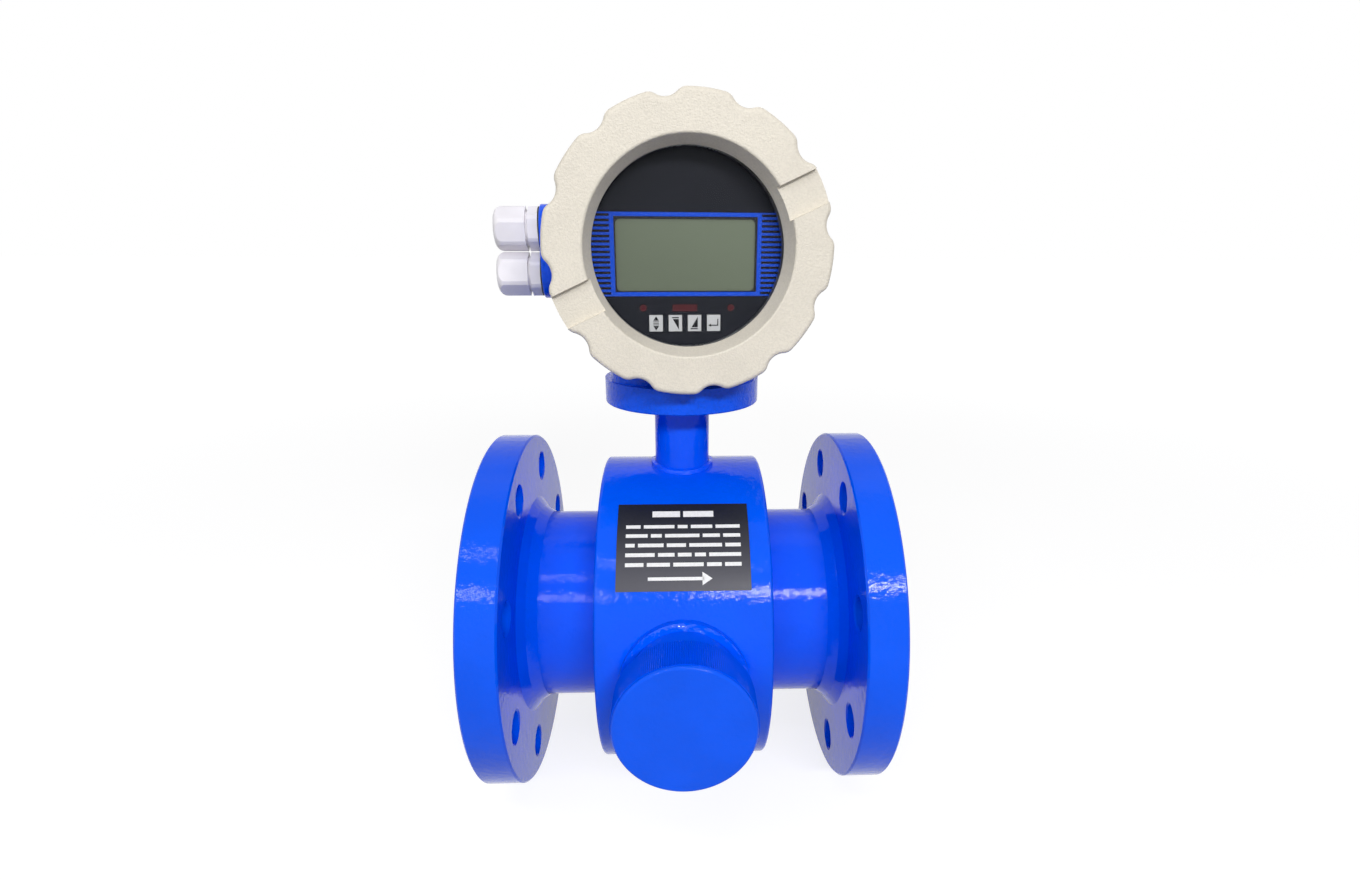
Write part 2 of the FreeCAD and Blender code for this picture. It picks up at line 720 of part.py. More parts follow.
def neck_screws():
    screws = []
    for index in range(round(number("neck_screw_count"))):
        angle = f"(360 * {index} / neck_screw_count)"
        at = (f"neck_screw_circle / 2 * cos{angle}", f"neck_screw_circle / 2 * sin{angle}")
        head = rod("neck_screw_head / 2", "neck_screw", "Z", "foot_bottom + neck_screw / 2", at)
        top = "plate_top + head_gasket_thick + neck_screw_grip"
        shank = rod("neck_screw / 2", f"{top} - foot_bottom", "Z", f"({top} + foot_bottom) / 2", at)
        screws.append(combine("Fuse", head, shank))
    gather("neck_screws", screws, turned_with_head)


# ---- converter housing ----------------------------------------------------------------------

def converter_housing():
    """One casting: barrel, foot and entry boss, bored from both ends and from below."""
    housing = new_body("converter_housing", in_head)
    barrel_rad, collar_rad = "barrel_dia / 2", "collar_dia / 2"
    shoulder = "barrel_half - collar_length"
    corners = [("-barrel_half", "0"), ("barrel_half", "0"), ("barrel_half", collar_rad),
               (shoulder, collar_rad), (shoulder, barrel_rad), (f"-({shoulder})", barrel_rad),
               (f"-({shoulder})", collar_rad), ("-barrel_half", collar_rad)]
    turn(housing, outline(sketch_on(housing, "YZ_Plane"), corners))
    inside_top = "-barrel_bore_rad + pedestal_corner / 2"

    sketch = rounded(sketch_on(housing, "XY_Plane", "foot_top"), "0", "0",
                     "pedestal_length", "pedestal_width", "pedestal_corner")
    pad(housing, sketch, f"{inside_top} - foot_top")
    pad(housing, circle(sketch_on(housing, "XY_Plane", "foot_low"), "0", "0", "foot_dia / 2"), "foot_height")
    dress(housing, "Fillet", "casting_round", lambda edge: is_circle(edge, "foot_dia / 2", "z", "foot_low"))
    sketch = rounded(sketch_on(housing, "YZ_Plane", "-boss_reach"), "boss_offset", "-boss_drop",
                     "boss_width", "boss_height", "boss_corner")
    pad(housing, sketch, "boss_reach - boss_root")
    dress(housing, "Fillet", "casting_round",
          lambda edge: edge.BoundBox.XMax < 0.01 - number("boss_reach"))

    end = "barrel_half + tool_run"
    for hand, wall in ((-1, "wall_front"), (1, "wall_back")):
        cavity = facing(hand, [(end, "0"), (end, "barrel_bore_rad"), (wall, "barrel_bore_rad"), (wall, "0")])
        if hand == 1:
            cavity = [(place.replace("wall_back", "-wall_back"), radius) for place, radius in cavity]
        turn(housing, outline(sketch_on(housing, "YZ_Plane"), cavity), "Groove")
    sketch = circle(sketch_on(housing, "XZ_Plane"), "0", "-wire_hole_drop", "wire_hole / 2")
    pocket(housing, sketch, "barrel_length / 2", middle=True)

    sketch = circle(sketch_on(housing, "XY_Plane", "foot_low"), "0", "0", "plate_rad + seat_gap")
    pocket(housing, sketch, "floor_low - foot_low", reverse=True)
    sketch = rounded(sketch_on(housing, "XY_Plane", "floor_top"), "0", "0",
                     "pedestal_length - 2 * pedestal_wall", "pedestal_width - 2 * pedestal_wall",
                     "pedestal_corner - pedestal_wall")
    pocket(housing, sketch, f"{inside_top} - floor_top", reverse=True)
    sketch = circle(sketch_on(housing, "XY_Plane", "floor_low"), "0", "0", "neck_rad - neck_wall")
    pocket(housing, sketch, "foot_floor", reverse=True)
    sketch = circle(sketch_on(housing, "XY_Plane", "floor_low"), "neck_screw_circle / 2", "0",
                    "neck_screw / 2 + seat_gap")
    repeat_round(housing, pocket(housing, sketch, "foot_floor", reverse=True), "Z_Axis", "neck_screw_count")

    sketch = sketch_on(housing, "YZ_Plane", "-boss_reach")
    for hand in (-1, 1):
        circle(sketch, "boss_offset", f"-boss_drop + {hand} * gland_pitch / 2", "gland_thread / 2 + seat_gap")
    pocket(housing, sketch, "boss_reach - boss_root", reverse=True)


# ---- covers ---------------------------------------------------------------------------------

def skirt_corners():
    """The screwed skirt of a cover and the groove for its ring, from the inside outwards."""
    thread_end = "cover_back - thread_length"
    return [(thread_end, "skirt_bore / 2"), (thread_end, "thread_dia / 2"), ("groove_back", "thread_dia / 2"),
            ("groove_back", "groove_rad"), ("cover_back", "groove_rad"), ("cover_back", "cover_dia / 2")]


def cover(label, hand, face, inside):
    """A screwed cover with a scalloped rim and a slot for a bar across its face."""
    corners = skirt_corners() + [(face, "cover_dia / 2")] + inside
    made = turned(label, facing(hand, corners), "Y", in_head)
    rim = inside[0][1]
    dress(made, "Fillet", "opening_round", lambda edge: is_circle(edge, rim, "y", f"{hand} * ({face})"))

    sketch = sketch_on(made, "XZ_Plane")
    centre = "(cover_dia / 2 - scallop_depth + scallop_rad)"
    circle(sketch, f"{centre} * cos(scallop_phase)", f"{centre} * sin(scallop_phase)", "scallop_rad")
    notch = pocket(made, sketch, f"2 * {face} + tool_run", middle=True)
    repeat_round(made, notch, "Y_Axis", "scallop_count")

    def rim_edge(edge):
        low, high = edge.BoundBox.YMin, edge.BoundBox.YMax
        centre_rad = math.hypot(edge.CenterOfMass.x, edge.CenterOfMass.z)
        return high - low > 5 and centre_rad > number("cover_dia / 2 - scallop_depth")

    dress(made, "Fillet", "scallop_round", rim_edge)

    def face_edge(edge):
        place = edge.CenterOfMass
        on_face = abs(place.y - hand * number(face)) < 0.01 and edge.BoundBox.YLength < 0.01
        return on_face and edge.Curve.TypeId == "Part::GeomCircle" and outer_arc(edge)

    def outer_arc(edge):
        middle = edge.valueAt((edge.FirstParameter + edge.LastParameter) / 2)
        return math.hypot(middle.x, middle.z) > number("cover_dia / 2 - scallop_depth") - 0.5

    dress(made, "Fillet", "cover_round", face_edge)
    cut_slot(made, hand, face)
    return made


def cut_slot(made, hand, face):
    """Mill the slot straight across the face, through the middle."""
    reach, half = "cover_dia", "slot_width / 2"
    along, across = ("cos(slot_angle)", "sin(slot_angle)"), ("-sin(slot_angle)", "cos(slot_angle)")
    corners = [[f"{east} * {reach} * {along[axis]} + {north} * {half} * {across[axis]}" for axis in (0, 1)]
               for east, north in ((-1, -1), (1, -1), (1, 1), (-1, 1))]
    sketch = outline(sketch_on(made, "XZ_Plane", f"{-hand} * ({face})"), corners)
    pocket(made, sketch, "slot_depth", reverse=hand > 0)


def covers():
    window = [("cover_front", "opening_dia / 2"), ("glass_seat + throat_land", "throat_dia / 2"),
              ("glass_seat", "throat_dia / 2"), ("glass_seat", "skirt_bore / 2")]
    cover("front_cover", -1, "cover_front", window)
    inner = "rear_front - rear_face_wall"
    dished = [("rear_front", "rear_dish_dia / 2"), ("rear_front - rear_dish_depth", "rear_dish_dia / 2"),
              ("rear_front - rear_dish_depth", "0"), (inner, "0"), (inner, "skirt_bore / 2")]
    cover("rear_cover", 1, "rear_front", dished)
    for side, hand in (("front", -1), ("rear", 1)):
        ring = document.addObject("Part::Torus", side + "_oring")
        ring.setExpression("Radius1", formula("thread_dia / 2 + seat_gap + oring_section / 2"))
        ring.setExpression("Radius2", formula("oring_section / 2"))
        place = f"{hand} * (barrel_half + seat_gap / 2 + oring_section / 2)"
        where = f"placement(vector(0; {place}; 0); rotation(vector(1; 0; 0); 90))"
        head = "placement(vector(0; 0; head_height); rotation(vector(0; 0; 1); head_turn))"
        ring.setExpression("Placement", formula(f"{head} * {where}"))
        piece(ring, side + "_cover_oring")


def window():
    pane = ring_corners("glass_back", "glass_face", "0", "glass_rad")
    turned("window_glass", facing(-1, pane), "Y", in_head)
    gasket = ring_corners("glass_face", "glass_seat", "throat_dia / 2 + seat_gap", "glass_rad")
    turned("glass_gasket", facing(-1, gasket), "Y", in_head)
    retainer = ring_corners("glass_back - retainer_thick", "glass_back", "retainer_bore / 2", "glass_rad")
    turned("glass_retainer", facing(-1, retainer), "Y", in_head)


# ---- display and electronics ----------------------------------------------------------------

KEYS = ("select", "down", "up", "enter")


def key_place(index):
    return f"key_shift + ({index} - {(len(KEYS) - 1) / 2}) * key_pitch"


def lamp_places():
    return [("-lamp_spread / 2", "-lamp_drop"), ("lamp_spread / 2", "-lamp_drop")]


def display_panel():
    panel = new_body("display_panel", in_head)
    sketch = circle(sketch_on(panel, "XZ_Plane", "panel_back"), "0", "0", "panel_dia / 2")
    pad(panel, sketch, "panel_thick")
    sketch = sketch_on(panel, "XZ_Plane", "panel_face")
    rectangle(sketch, "lcd_shift", "-lcd_drop", "lcd_length + 2 * slide_gap", "lcd_height + 2 * slide_gap")
    for index in range(len(KEYS)):
        rectangle(sketch, key_place(index), "-key_drop", "key_length + 2 * slide_gap", "key_height + 2 * slide_gap")
    for x, z in lamp_places():
        circle(sketch, x, z, "lamp_dia / 2 + slide_gap")
    rectangle(sketch, "key_shift", "-lamp_drop", "lamp_length + 2 * slide_gap", "lamp_height + 2 * slide_gap")
    pocket(panel, sketch, "2 * panel_thick")


def lcd_module():
    module = new_body("lcd_module", in_head)
    sketch = rectangle(sketch_on(module, "XZ_Plane", "board_face"), "lcd_shift", "-lcd_drop", "lcd_length", "lcd_height")
    pad(module, sketch, "panel_face - lcd_recess - board_face")


def keys():
    for index, name in enumerate(KEYS):
        key = new_body("key_" + name, in_head)
        rest = "board_face + key_travel + slide_gap"
        sketch = rectangle(sketch_on(key, "XZ_Plane", rest), key_place(index), "-key_drop", "key_length", "key_height")
        pad(key, sketch, f"panel_face + key_stand - ({rest})")


def indicator_windows():
    middle = "-(panel_face + panel_back) / 2"
    lamps = [rod("lamp_dia / 2", "panel_thick", "Y", middle, place) for place in lamp_places()]
    lamps.append(block("lamp_length", "panel_thick", "lamp_height", "key_shift", middle, "-lamp_drop"))
    gather("indicator_windows", lamps, in_head)


def boards():
    for label, face, back in (("display_board", "board_face", "board_back"), ("main_board", "main_face", "main_back")):
        turned(label, facing(-1, ring_corners(back, face, "0", "board_dia / 2")), "Y", in_head)
    middle = "-main_back + transformer_depth / 2"
    block_size = ("transformer_length", "transformer_depth", "transformer_height")
    gather("power_transformer", [block(*block_size, "0", middle, "0")], in_head)


def pillars():
    """Round pillars that carry the boards and the panel one on another."""
    made = []
    for index in range(round(number("pillar_count"))):
        angle = f"(pillar_phase + 360 * {index} / pillar_count)"
        at = (f"pillar_circle / 2 * cos{angle}", f"pillar_circle / 2 * sin{angle}")
        for low, high in (("wall_front", "main_back"), ("main_face", "board_back"), ("board_face", "panel_back")):
            made.append(rod("pillar_dia / 2", f"{high} - {low}", "Y", f"-({high} + {low}) / 2", at))
    gather("board_pillars", made, in_head)


def terminals():
    middle = "-wall_back + terminal_depth / 2"
    base = block("terminal_length", "terminal_depth", "terminal_height", "0", middle, "terminal_height")
    gather("terminal_block", [base], in_head)
    screws = []
    for index in range(round(number("terminal_count"))):
        x = f"terminal_length * (({index} + 0.5) / terminal_count - 0.5)"
        screws.append(rod("terminal_screw / 2", "terminal_screw_stand", "Y",
                           "-wall_back + terminal_depth + terminal_screw_stand / 2", (x, "terminal_height")))
    gather("terminal_screws", screws, in_head)


# ---- cable glands ---------------------------------------------------------------------------

def in_gland(hand, angle):
    """Carry an item on a gland's axis, turned about it by an angle."""
    def carry(item):
        head = "placement(vector(0; 0; head_height); rotation(vector(0; 0; 1); head_turn))"
        here = f"vector(0; boss_offset; -boss_drop + {hand} * gland_pitch / 2)"
        item.setExpression("Placement", formula(f"{head} * placement({here}; rotation(vector(1; 0; 0); {angle}))"))
    return carry


def outward(corners):
    return [(f"-({place})", radius) for place, radius in corners]


def hidden_turned(corners):
    """A turned blank that is only a tool for a boolean."""
    blank = document.addObject("PartDesign::Body", "blank")
    turn(blank, outline(sketch_on(blank, "XZ_Plane"), outward(corners)))
    return blank


def gland(side, hand):
    """A cable gland: its body, washer, seal and domed nut, each on the gland's own axis."""
    hex_root = "boss_reach + gland_washer_thick"
    hex_tip = f"{hex_root} + gland_hex_length"
    thread_rad, nose_rad = "gland_thread / 2", "gland_nose_dia / 2"
    shank = hidden_turned([("boss_reach - gland_thread_length", "0"), ("boss_reach - gland_thread_length", thread_rad),
                           (hex_tip, thread_rad), (hex_tip, nose_rad), ("nose_tip", nose_rad), ("nose_tip", "0")])
    middle = f"-({hex_root} + gland_hex_length / 2)"
    flats = combine("Common", hexagon("gland_across", "gland_hex_length", "X", middle),
                    rod("gland_corner_dia / 2", "gland_hex_length", "X", middle))
    bore = rod("gland_bore / 2", "2 * gland_reach", "X", "-gland_reach")
    piece(combine("Cut", combine("Fuse", shank, flats), bore), "gland_body_" + side, in_gland(hand, "0"))

    washer = ring_corners("boss_reach", hex_root, "gland_thread / 2 + seat_gap", "gland_corner_dia / 2")
    piece(hidden_turned(washer), "gland_washer_" + side, in_gland(hand, "0"))
    seal = ring_corners("nose_tip + seat_gap", "seal_tip - seat_gap", "seal_bore / 2", "seal_dia / 2")
    piece(hidden_turned(seal), "gland_seal_" + side, in_gland(hand, "0"))

    envelope = hidden_turned([("nut_root", "0"), ("nut_root", "gland_corner_dia / 2"),
                              ("nut_tip", "gland_corner_dia / 2"), ("nut_tip", "0")])
    dress(envelope, "Fillet", "nut_dome", lambda edge: is_circle(edge, "gland_corner_dia / 2", "x", "-nut_tip"))
    bar = hexagon("gland_across", "nut_length", "X", "-(nut_root + nut_tip) / 2")
    seat = "seal_dia / 2 + seat_gap"
    inside = hidden_turned([("nut_root - tool_run", "0"), ("nut_root - tool_run", f"{nose_rad} + thread_gap"),
                            ("nose_tip + seat_gap", f"{nose_rad} + thread_gap"), ("nose_tip + seat_gap", seat),
                            ("seal_tip", seat), ("seal_tip", "nut_mouth / 2"), 
                            ("nut_tip + tool_run", "nut_mouth / 2"), ("nut_tip + tool_run", "0")])
    nut = combine("Cut", combine("Common", bar, envelope), inside)
    piece(nut, "gland_nut_" + side, in_gland(hand, side + "_nut_turn"))


# ---- label ----------------------------------------------------------------------------------

def label_plate():
    inner, outer = "drum_rad + seat_gap", "drum_rad + seat_gap + label_thick"
    band = combine("Cut", rod(outer, "label_length", "X", arc="label_arc_angle"), rod(inner, "drum_dia", "X"))
    band.setExpression("Placement", formula("placement(vector(0; 0; 0); rotation(vector(1; 0; 0); label_start_angle))"))
    piece(band, "label_plate")


# ---- the meter ------------------------------------------------------------------------------

def build():
    measuring_tube()
    flow_liner()
    flange("inlet_flange", -1)
    flange("outlet_flange", 1)
    fillet_weld("flange_welds", "disc_back", "flange_weld_leg", (-1, 1))
    coil_band()
    cheek("cheek_inlet", -1)
    cheek("cheek_outlet", 1)
    coil("top", 1)
    coil("bottom", -1)
    yoke()
    label_plate()
    for side, hand in (("front", -1), ("rear", 1)):
        electrode(side, hand)
        service_port(side, hand)
    gather("electrode_sleeves", [electrode_sleeve(-1), electrode_sleeve(1)])
    gather("electrode_nuts", [electrode_nut(-1), electrode_nut(1)])
    port = ("stub_rad", "stub_weld_width", "stub_weld_rise", "Y")
    gather("stub_welds", [saddle_weld(*port, f"{hand} * drum_rad") for hand in (-1, 1)])
    piece(saddle_weld("neck_rad", "neck_weld_width", "neck_weld_rise", "Z", "drum_rad"), "neck_weld")
    neck()
    neck_screws()
    converter_housing()
    covers()
    window()
    display_panel()
    lcd_module()
    keys()
    indicator_windows()
    boards()
    pillars()
    terminals()
    gland("upper", 1)
    gland("lower", -1)


def check_and_export():
    """Stop if anything failed to build; otherwise write each sub-part to its own file."""
    document.recompute()
    for item in document.Objects:
        if {"Invalid", "Error"} & set(item.State):
            raise RuntimeError(f"{item.Name} ({item.Label}) failed: {item.State}")
    for item in PIECES:
        if item.Shape.isNull() or not item.Shape.isValid() or not item.Shape.Solids:
            raise RuntimeError(f"{item.Label} has no sound shape")
    os.makedirs("parts", exist_ok=True)
    for item in PIECES:
        item.Shape.exportStep(f"parts/{item.Label}.step")
        print(f"{item.Label}: {len(item.Shape.Solids)} solid(s), {item.Shape.Volume / 1000:.2f} cm3")


build()
check_and_export()
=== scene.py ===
import math

import bpy
from mathutils import Matrix, Vector


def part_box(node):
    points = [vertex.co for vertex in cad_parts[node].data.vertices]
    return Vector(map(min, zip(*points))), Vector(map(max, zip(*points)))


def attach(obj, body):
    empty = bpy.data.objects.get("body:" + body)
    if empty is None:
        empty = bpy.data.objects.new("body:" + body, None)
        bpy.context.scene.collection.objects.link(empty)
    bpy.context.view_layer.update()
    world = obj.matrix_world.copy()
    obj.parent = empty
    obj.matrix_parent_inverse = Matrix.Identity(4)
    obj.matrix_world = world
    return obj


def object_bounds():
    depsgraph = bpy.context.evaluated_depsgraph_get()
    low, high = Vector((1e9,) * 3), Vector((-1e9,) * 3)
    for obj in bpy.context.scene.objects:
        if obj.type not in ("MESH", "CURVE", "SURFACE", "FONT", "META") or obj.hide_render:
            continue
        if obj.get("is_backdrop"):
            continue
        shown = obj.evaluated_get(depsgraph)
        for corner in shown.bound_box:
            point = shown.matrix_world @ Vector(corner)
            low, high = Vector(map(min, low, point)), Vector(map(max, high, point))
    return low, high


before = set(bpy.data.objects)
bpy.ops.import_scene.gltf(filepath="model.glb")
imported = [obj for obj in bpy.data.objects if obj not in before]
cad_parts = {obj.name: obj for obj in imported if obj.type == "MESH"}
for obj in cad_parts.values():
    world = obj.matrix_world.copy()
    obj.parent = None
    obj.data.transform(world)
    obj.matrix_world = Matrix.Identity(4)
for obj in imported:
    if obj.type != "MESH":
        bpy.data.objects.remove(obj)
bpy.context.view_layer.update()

bl_info = {
    "name": "Flow Meter Finish",
    "version": (1, 0, 0),
    "blender": (4, 5, 0),
    "location": "View3D > Sidebar > Flow Meter",
    "description": "Finishes a flow meter: enamel, powder coat, display, label, knurls, studio",
    "category": "Object",
}

MM = 0.001

# The head stands over the bore and is turned about the neck; the cover's ring lies on its axis.
RING_LOW, RING_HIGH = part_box("front_cover_oring")
HEAD_HEIGHT = (RING_LOW.z + RING_HIGH.z) / 2
RING_MIDDLE = (RING_LOW + RING_HIGH) / 2
HEAD_TURN = math.atan2(RING_MIDDLE.x, -RING_MIDDLE.y)
HEAD = Matrix.Translation((0, 0, HEAD_HEIGHT)) @ Matrix.Rotation(HEAD_TURN, 4, "Z")

# The display from the front: how far ahead of the head's axis its face lies, and the edges
# (left, right, bottom, top) of the blue frame, of its opening and of the crystal's sight.
PANEL_DEPTH = 42.8 * MM
FRAME_EDGE = (-39.6 * MM, 38.8 * MM, -23.5 * MM, 18.1 * MM)
FRAME_OPENING = (-37.4 * MM, 36.6 * MM, -21.4 * MM, 16.1 * MM)
LCD_SIGHT = (-36.5 * MM, 35.2 * MM, -20.9 * MM, 14.7 * MM)
LCD_CORNER = 2.4 * MM

# The prints stop this far inside the panel's round edge, and the first bar lies this far below
# the frame's top. BEYOND is a place past every print.
PANEL_MARGIN = 0.4 * MM
PANEL_CORNERS = 192
FIRST_BAR = 1.4 * MM
BEYOND = 1

# Each key's marks as convex outlines (across, up) about the key's middle, in units of SIGN.
# They are cut from a disc on the key's face.
KEY_FACE = 43.6 * MM
KEY_DISC = 6 * MM
KEY_CORNERS = 32
SIGN = 1.15 * MM
KEY_MARKS = {
    "select": (((-1.3, 1.2), (1.3, 1.2), (0, 3.2)),
               ((-1.3, -1.2), (0, -3.2), (1.3, -1.2)),
               ((-1.3, 0.55), (1.3, 0.55), (1.3, 0.85), (-1.3, 0.85)),
               ((-1.3, -0.15), (1.3, -0.15), (1.3, 0.15), (-1.3, 0.15)),
               ((-1.3, -0.85), (1.3, -0.85), (1.3, -0.55), (-1.3, -0.55))),
    "down": (((-1.2, 1.9), (1.6, -2.9), (1.6, 1.9)),
             ((-1.6, 2.3), (1.6, 2.3), (1.6, 2.8), (-1.6, 2.8))),
    "up": (((-1.4, -1.9), (1.5, -1.9), (1.5, 2.9)),
           ((-1.8, -2.8), (1.5, -2.8), (1.5, -2.3), (-1.8, -2.3))),
    "enter": (((1.7, -1.3), (2.2, -1.3), (2.2, 1.9), (1.7, 1.9)),
              ((-1.4, -1.3), (2.2, -1.3), (2.2, -0.8), (-1.4, -0.8)),
              ((-2.5, -1.05), (-1.2, -1.8), (-1.2, -0.3))),
}

# The label wraps the coil housing and starts at an angle forward of its top. The prints are cut
# from a ring of LABEL_SIDES sides, which is LABEL_WIDTH wide along the bore.
BAND_LOW, BAND_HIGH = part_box("coil_housing_band")
LABEL_RISE = 0.68 * MM
LABEL_RADIUS = (BAND_HIGH.z - BAND_LOW.z) / 2 + LABEL_RISE
LABEL_START = math.radians(28.1)
LABEL_SIDES = 720
LABEL_WIDTH = 0.09

# The label's text stands as plain bars, row by row: the row's middle from the upper edge, the
# bars' height and their widths, in millimetres.
LABEL_ROWS = (
    (7.3, 4.0, (15.5, 17.0)),
    (15.6, 2.1, (8.0, 17.0, 5.5, 12.0, 13.5)),
    (21.2, 2.1, (12.0, 6.0, 19.0, 9.5, 9.5)),
    (26.9, 2.1, (5.0, 14.0, 10.5, 18.0, 8.5)),
    (32.4, 2.1, (16.0, 9.0, 7.5, 6.0, 17.5)),
    (37.9, 2.1, (10.0, 12.5, 16.5, 8.0, 9.0)),
)
WORD_GAP = 1.8

# The flow arrow below the text, in millimetres: its middle from the upper edge, where its shaft
# and its head begin and end along the bore, and half the width of each.
ARROW = {"middle": 45.6, "tail": -19.2, "neck": 10.2, "overlap": 1, "tip": 15.6, "half": 0.9,
         "spread": 3.6}

# The knurl leaves strips bare at the cap's root and face, its grooves lie just above the cap and
# its ends go under the surface.
KNURL_ROOT = 0.6 * MM
KNURL_FACE = 2.2 * MM
KNURL_LIFT = 0.02 * MM
KNURL_SINK = 0.4 * MM
CLOSE_ENOUGH = 1e-6

BLUE_WELDS = ("stub_welds", "neck_weld")

# Each softbox: where it stands, what it faces, its width and height, and its power in watts.
LIGHTS = {
    "strip": ((0.4, -1.4, 0.9), (0.0, 0.0, 0.1), (0.65, 0.11), 14.5),
    "dim_strip": ((-0.6, -1.4, 0.9), (0.0, 0.0, 0.1), (0.8, 0.11), 5.5),
    "front": ((-0.1, -1.6, 0.3), (0.0, 0.0, 0.08), (1.3, 0.8), 1.3),
    "top_strip": ((-0.3, -0.9, 1.25), (0.0, 0.0, 0.1), (1.0, 0.06), 2.8),
    "top": ((0.0, 0.35, 1.4), (0.0, 0.0, 0.1), (1.3, 0.5), 1.0),
    "side": ((-1.5, -0.6, 0.7), (0.0, 0.0, 0.08), (0.5, 0.9), 1.6),
}

# FILL is the world's strength where it only lights. The floor is seen nearly white, and whiter
# from the first distance of FLOOR_FADE to the second.
FILL = 0.23
FLOOR_SIZE = 40
FLOOR_GAP = 0.2 * MM
FLOOR_COLOUR = (0.34, 0.34, 0.345)
FLOOR_WHITE = 0.8
FLOOR_FAR_WHITE = 0.14
FLOOR_FADE = (0.3, 2.2)
WHITE = (1, 1, 1)

# The camera's place in metres, its turns in degrees, and its lens and sensor in millimetres.
CAMERA_PLACE = (-0.0021, -0.4139, 0.2254)
CAMERA_TURN = (90 - 16.91, -0.21, -2.05)
CAMERA_LENS = 18.22
CAMERA_SENSOR = 36
CAMERA_SHIFT = (-0.0170, 0.0117)
CAMERA_NEAR = 0.01


# ---- shader arithmetic ----------------------------------------------------------------------

class Value:
    """A number coming out of a node, which adds Math nodes when it takes part in arithmetic."""

    def __init__(self, graph, socket):
        self.graph = graph
        self.socket = socket

    def math(self, operation, *others):
        """A Math node with this value in its first socket."""
        sockets = {0: self, **dict(enumerate(others, 1))}
        return self.graph.node("ShaderNodeMath", {"operation": operation}, sockets)

    def reflected(self, operation, other):
        """A Math node with this value in its second socket."""
        return self.graph.node("ShaderNodeMath", {"operation": operation}, {0: other, 1: self})

    def __add__(self, other):
        return self.math("ADD", other)

    __radd__ = __add__

    def __sub__(self, other):
        return self.math("SUBTRACT", other)

    def __rsub__(self, other):
        return self.reflected("SUBTRACT", other)

    def __mul__(self, other):
        return self.math("MULTIPLY", other)

    __rmul__ = __mul__

    def __pow__(self, other):
        return self.math("POWER", other)

    def __rpow__(self, other):
        return self.reflected("POWER", other)

    def __abs__(self):
        return self.math("ABSOLUTE")

    def at_least(self, low):
        """The value, or the low limit where it falls below that."""
        return self.math("MAXIMUM", low)

    def ramp(self, start, end):
        """0 at the start, 1 at the end and a smooth slope between; either may be the larger."""
        sockets = {"Value": self, "From Min": start, "From Max": end}
        return self.graph.node("ShaderNodeMapRange", {"interpolation_type": "SMOOTHSTEP"}, sockets)


class Graph:
    """The node tree of a material or a world, emptied for its own nodes."""

    def __init__(self, owner):
        self.owner = owner
        owner.use_nodes = True
        self.tree = owner.node_tree
        self.tree.nodes.clear()

    def node(self, kind, settings=None, sockets=None, out=0):
        """Add a node: its settings first, then the values or links of its sockets."""
        made = self.tree.nodes.new(kind)
        for name, value in (settings or {}).items():
            setattr(made, name, value)
        for name, value in (sockets or {}).items():
            self.feed(made.inputs[name], value)
        return Value(self, made.outputs[out]) if made.outputs else None

    def feed(self, socket, value):
        """Link a value to a socket, or set the socket to a plain number or colour."""
        if isinstance(value, Value):
            self.tree.links.new(value.socket, socket)
        elif isinstance(value, tuple) and len(value) == 3 and socket.type == "RGBA":
            socket.default_value = (*value, 1.0)
        else:
            socket.default_value = value

    def outputs(self, kind, names, sockets=None):
        """Add a node and give several of its outputs, by name or number."""
        made = self.node(kind, sockets=sockets).socket.node
        return [Value(self, made.outputs[name]) for name in names]

    def place(self):
        """Position on the object, in metres."""
        return self.node("ShaderNodeTexCoord", out="Object")

    def axes(self, place):
        """A position's three numbers: across, along and up."""
        return self.outputs("ShaderNodeSeparateXYZ", range(3), {0: place})

    def noise(self, place, scale, detail=2.0, roughness=0.5):
        """Soft lumps and grain, the finer the larger the scale."""
        sockets = {"Vector": place, "Scale": scale, "Detail": detail, "Roughness": roughness}
        return self.node("ShaderNodeTexNoise", {"noise_dimensions": "3D"}, sockets)

    def cells(self, place, scale, feature="F1"):
        """Distance within a pattern of irregular cells."""
        sockets = {"Vector": place, "Scale": scale}
        return self.node("ShaderNodeTexVoronoi", {"feature": feature}, sockets, out="Distance")

    def waves(self, place, scale, settings, distortion=0.0, detail=2.0):
        """Regular ridges, in bands or rings."""
        sockets = {"Vector": place, "Scale": scale, "Distortion": distortion, "Detail": detail}
        return self.node("ShaderNodeTexWave", settings, sockets, out=1)

    def mix(self, factor, first, second):
        """The first colour where the factor is 0 and the second where it is 1."""
        sockets = {"Factor": factor, 6: first, 7: second}
        return self.node("ShaderNodeMix", {"data_type": "RGBA"}, sockets, out=2)

    def bump(self, height, strength, distance):
        """A normal tilted by the slope of a height."""
        sockets = {"Height": height, "Strength": strength, "Distance": distance}
        return self.node("ShaderNodeBump", sockets=sockets)

    def surface(self, shader, output="ShaderNodeOutputMaterial"):
        """Lead a shader to the output and give back the finished material or world."""
        self.node(output, sockets={"Surface": shader})
        return self.owner

    def finish(self, **sockets):
        """Close the material with one Principled shader."""
        named = {name.replace("_", " ").title().replace("Ior", "IOR"): value
                 for name, value in sockets.items()}
        return self.surface(self.node("ShaderNodeBsdfPrincipled", sockets=named))


def new_graph(name):
    """The node tree of a new material."""
    return Graph(bpy.data.materials.new(name))


def linear(red, green, blue):
    """A colour given as display values from 0 to 255, in the renderer's own linear terms."""
    def one(value):
        share = value / 255
        return share / 12.92 if share <= 0.04045 else ((share + 0.055) / 1.055) ** 2.4
    return one(red), one(green), one(blue)


def shaded(colour, share):
    """A colour made darker, or lighter with a share above 1."""
    return tuple(part * share for part in colour)


# ---- finishes -------------------------------------------------------------------------------

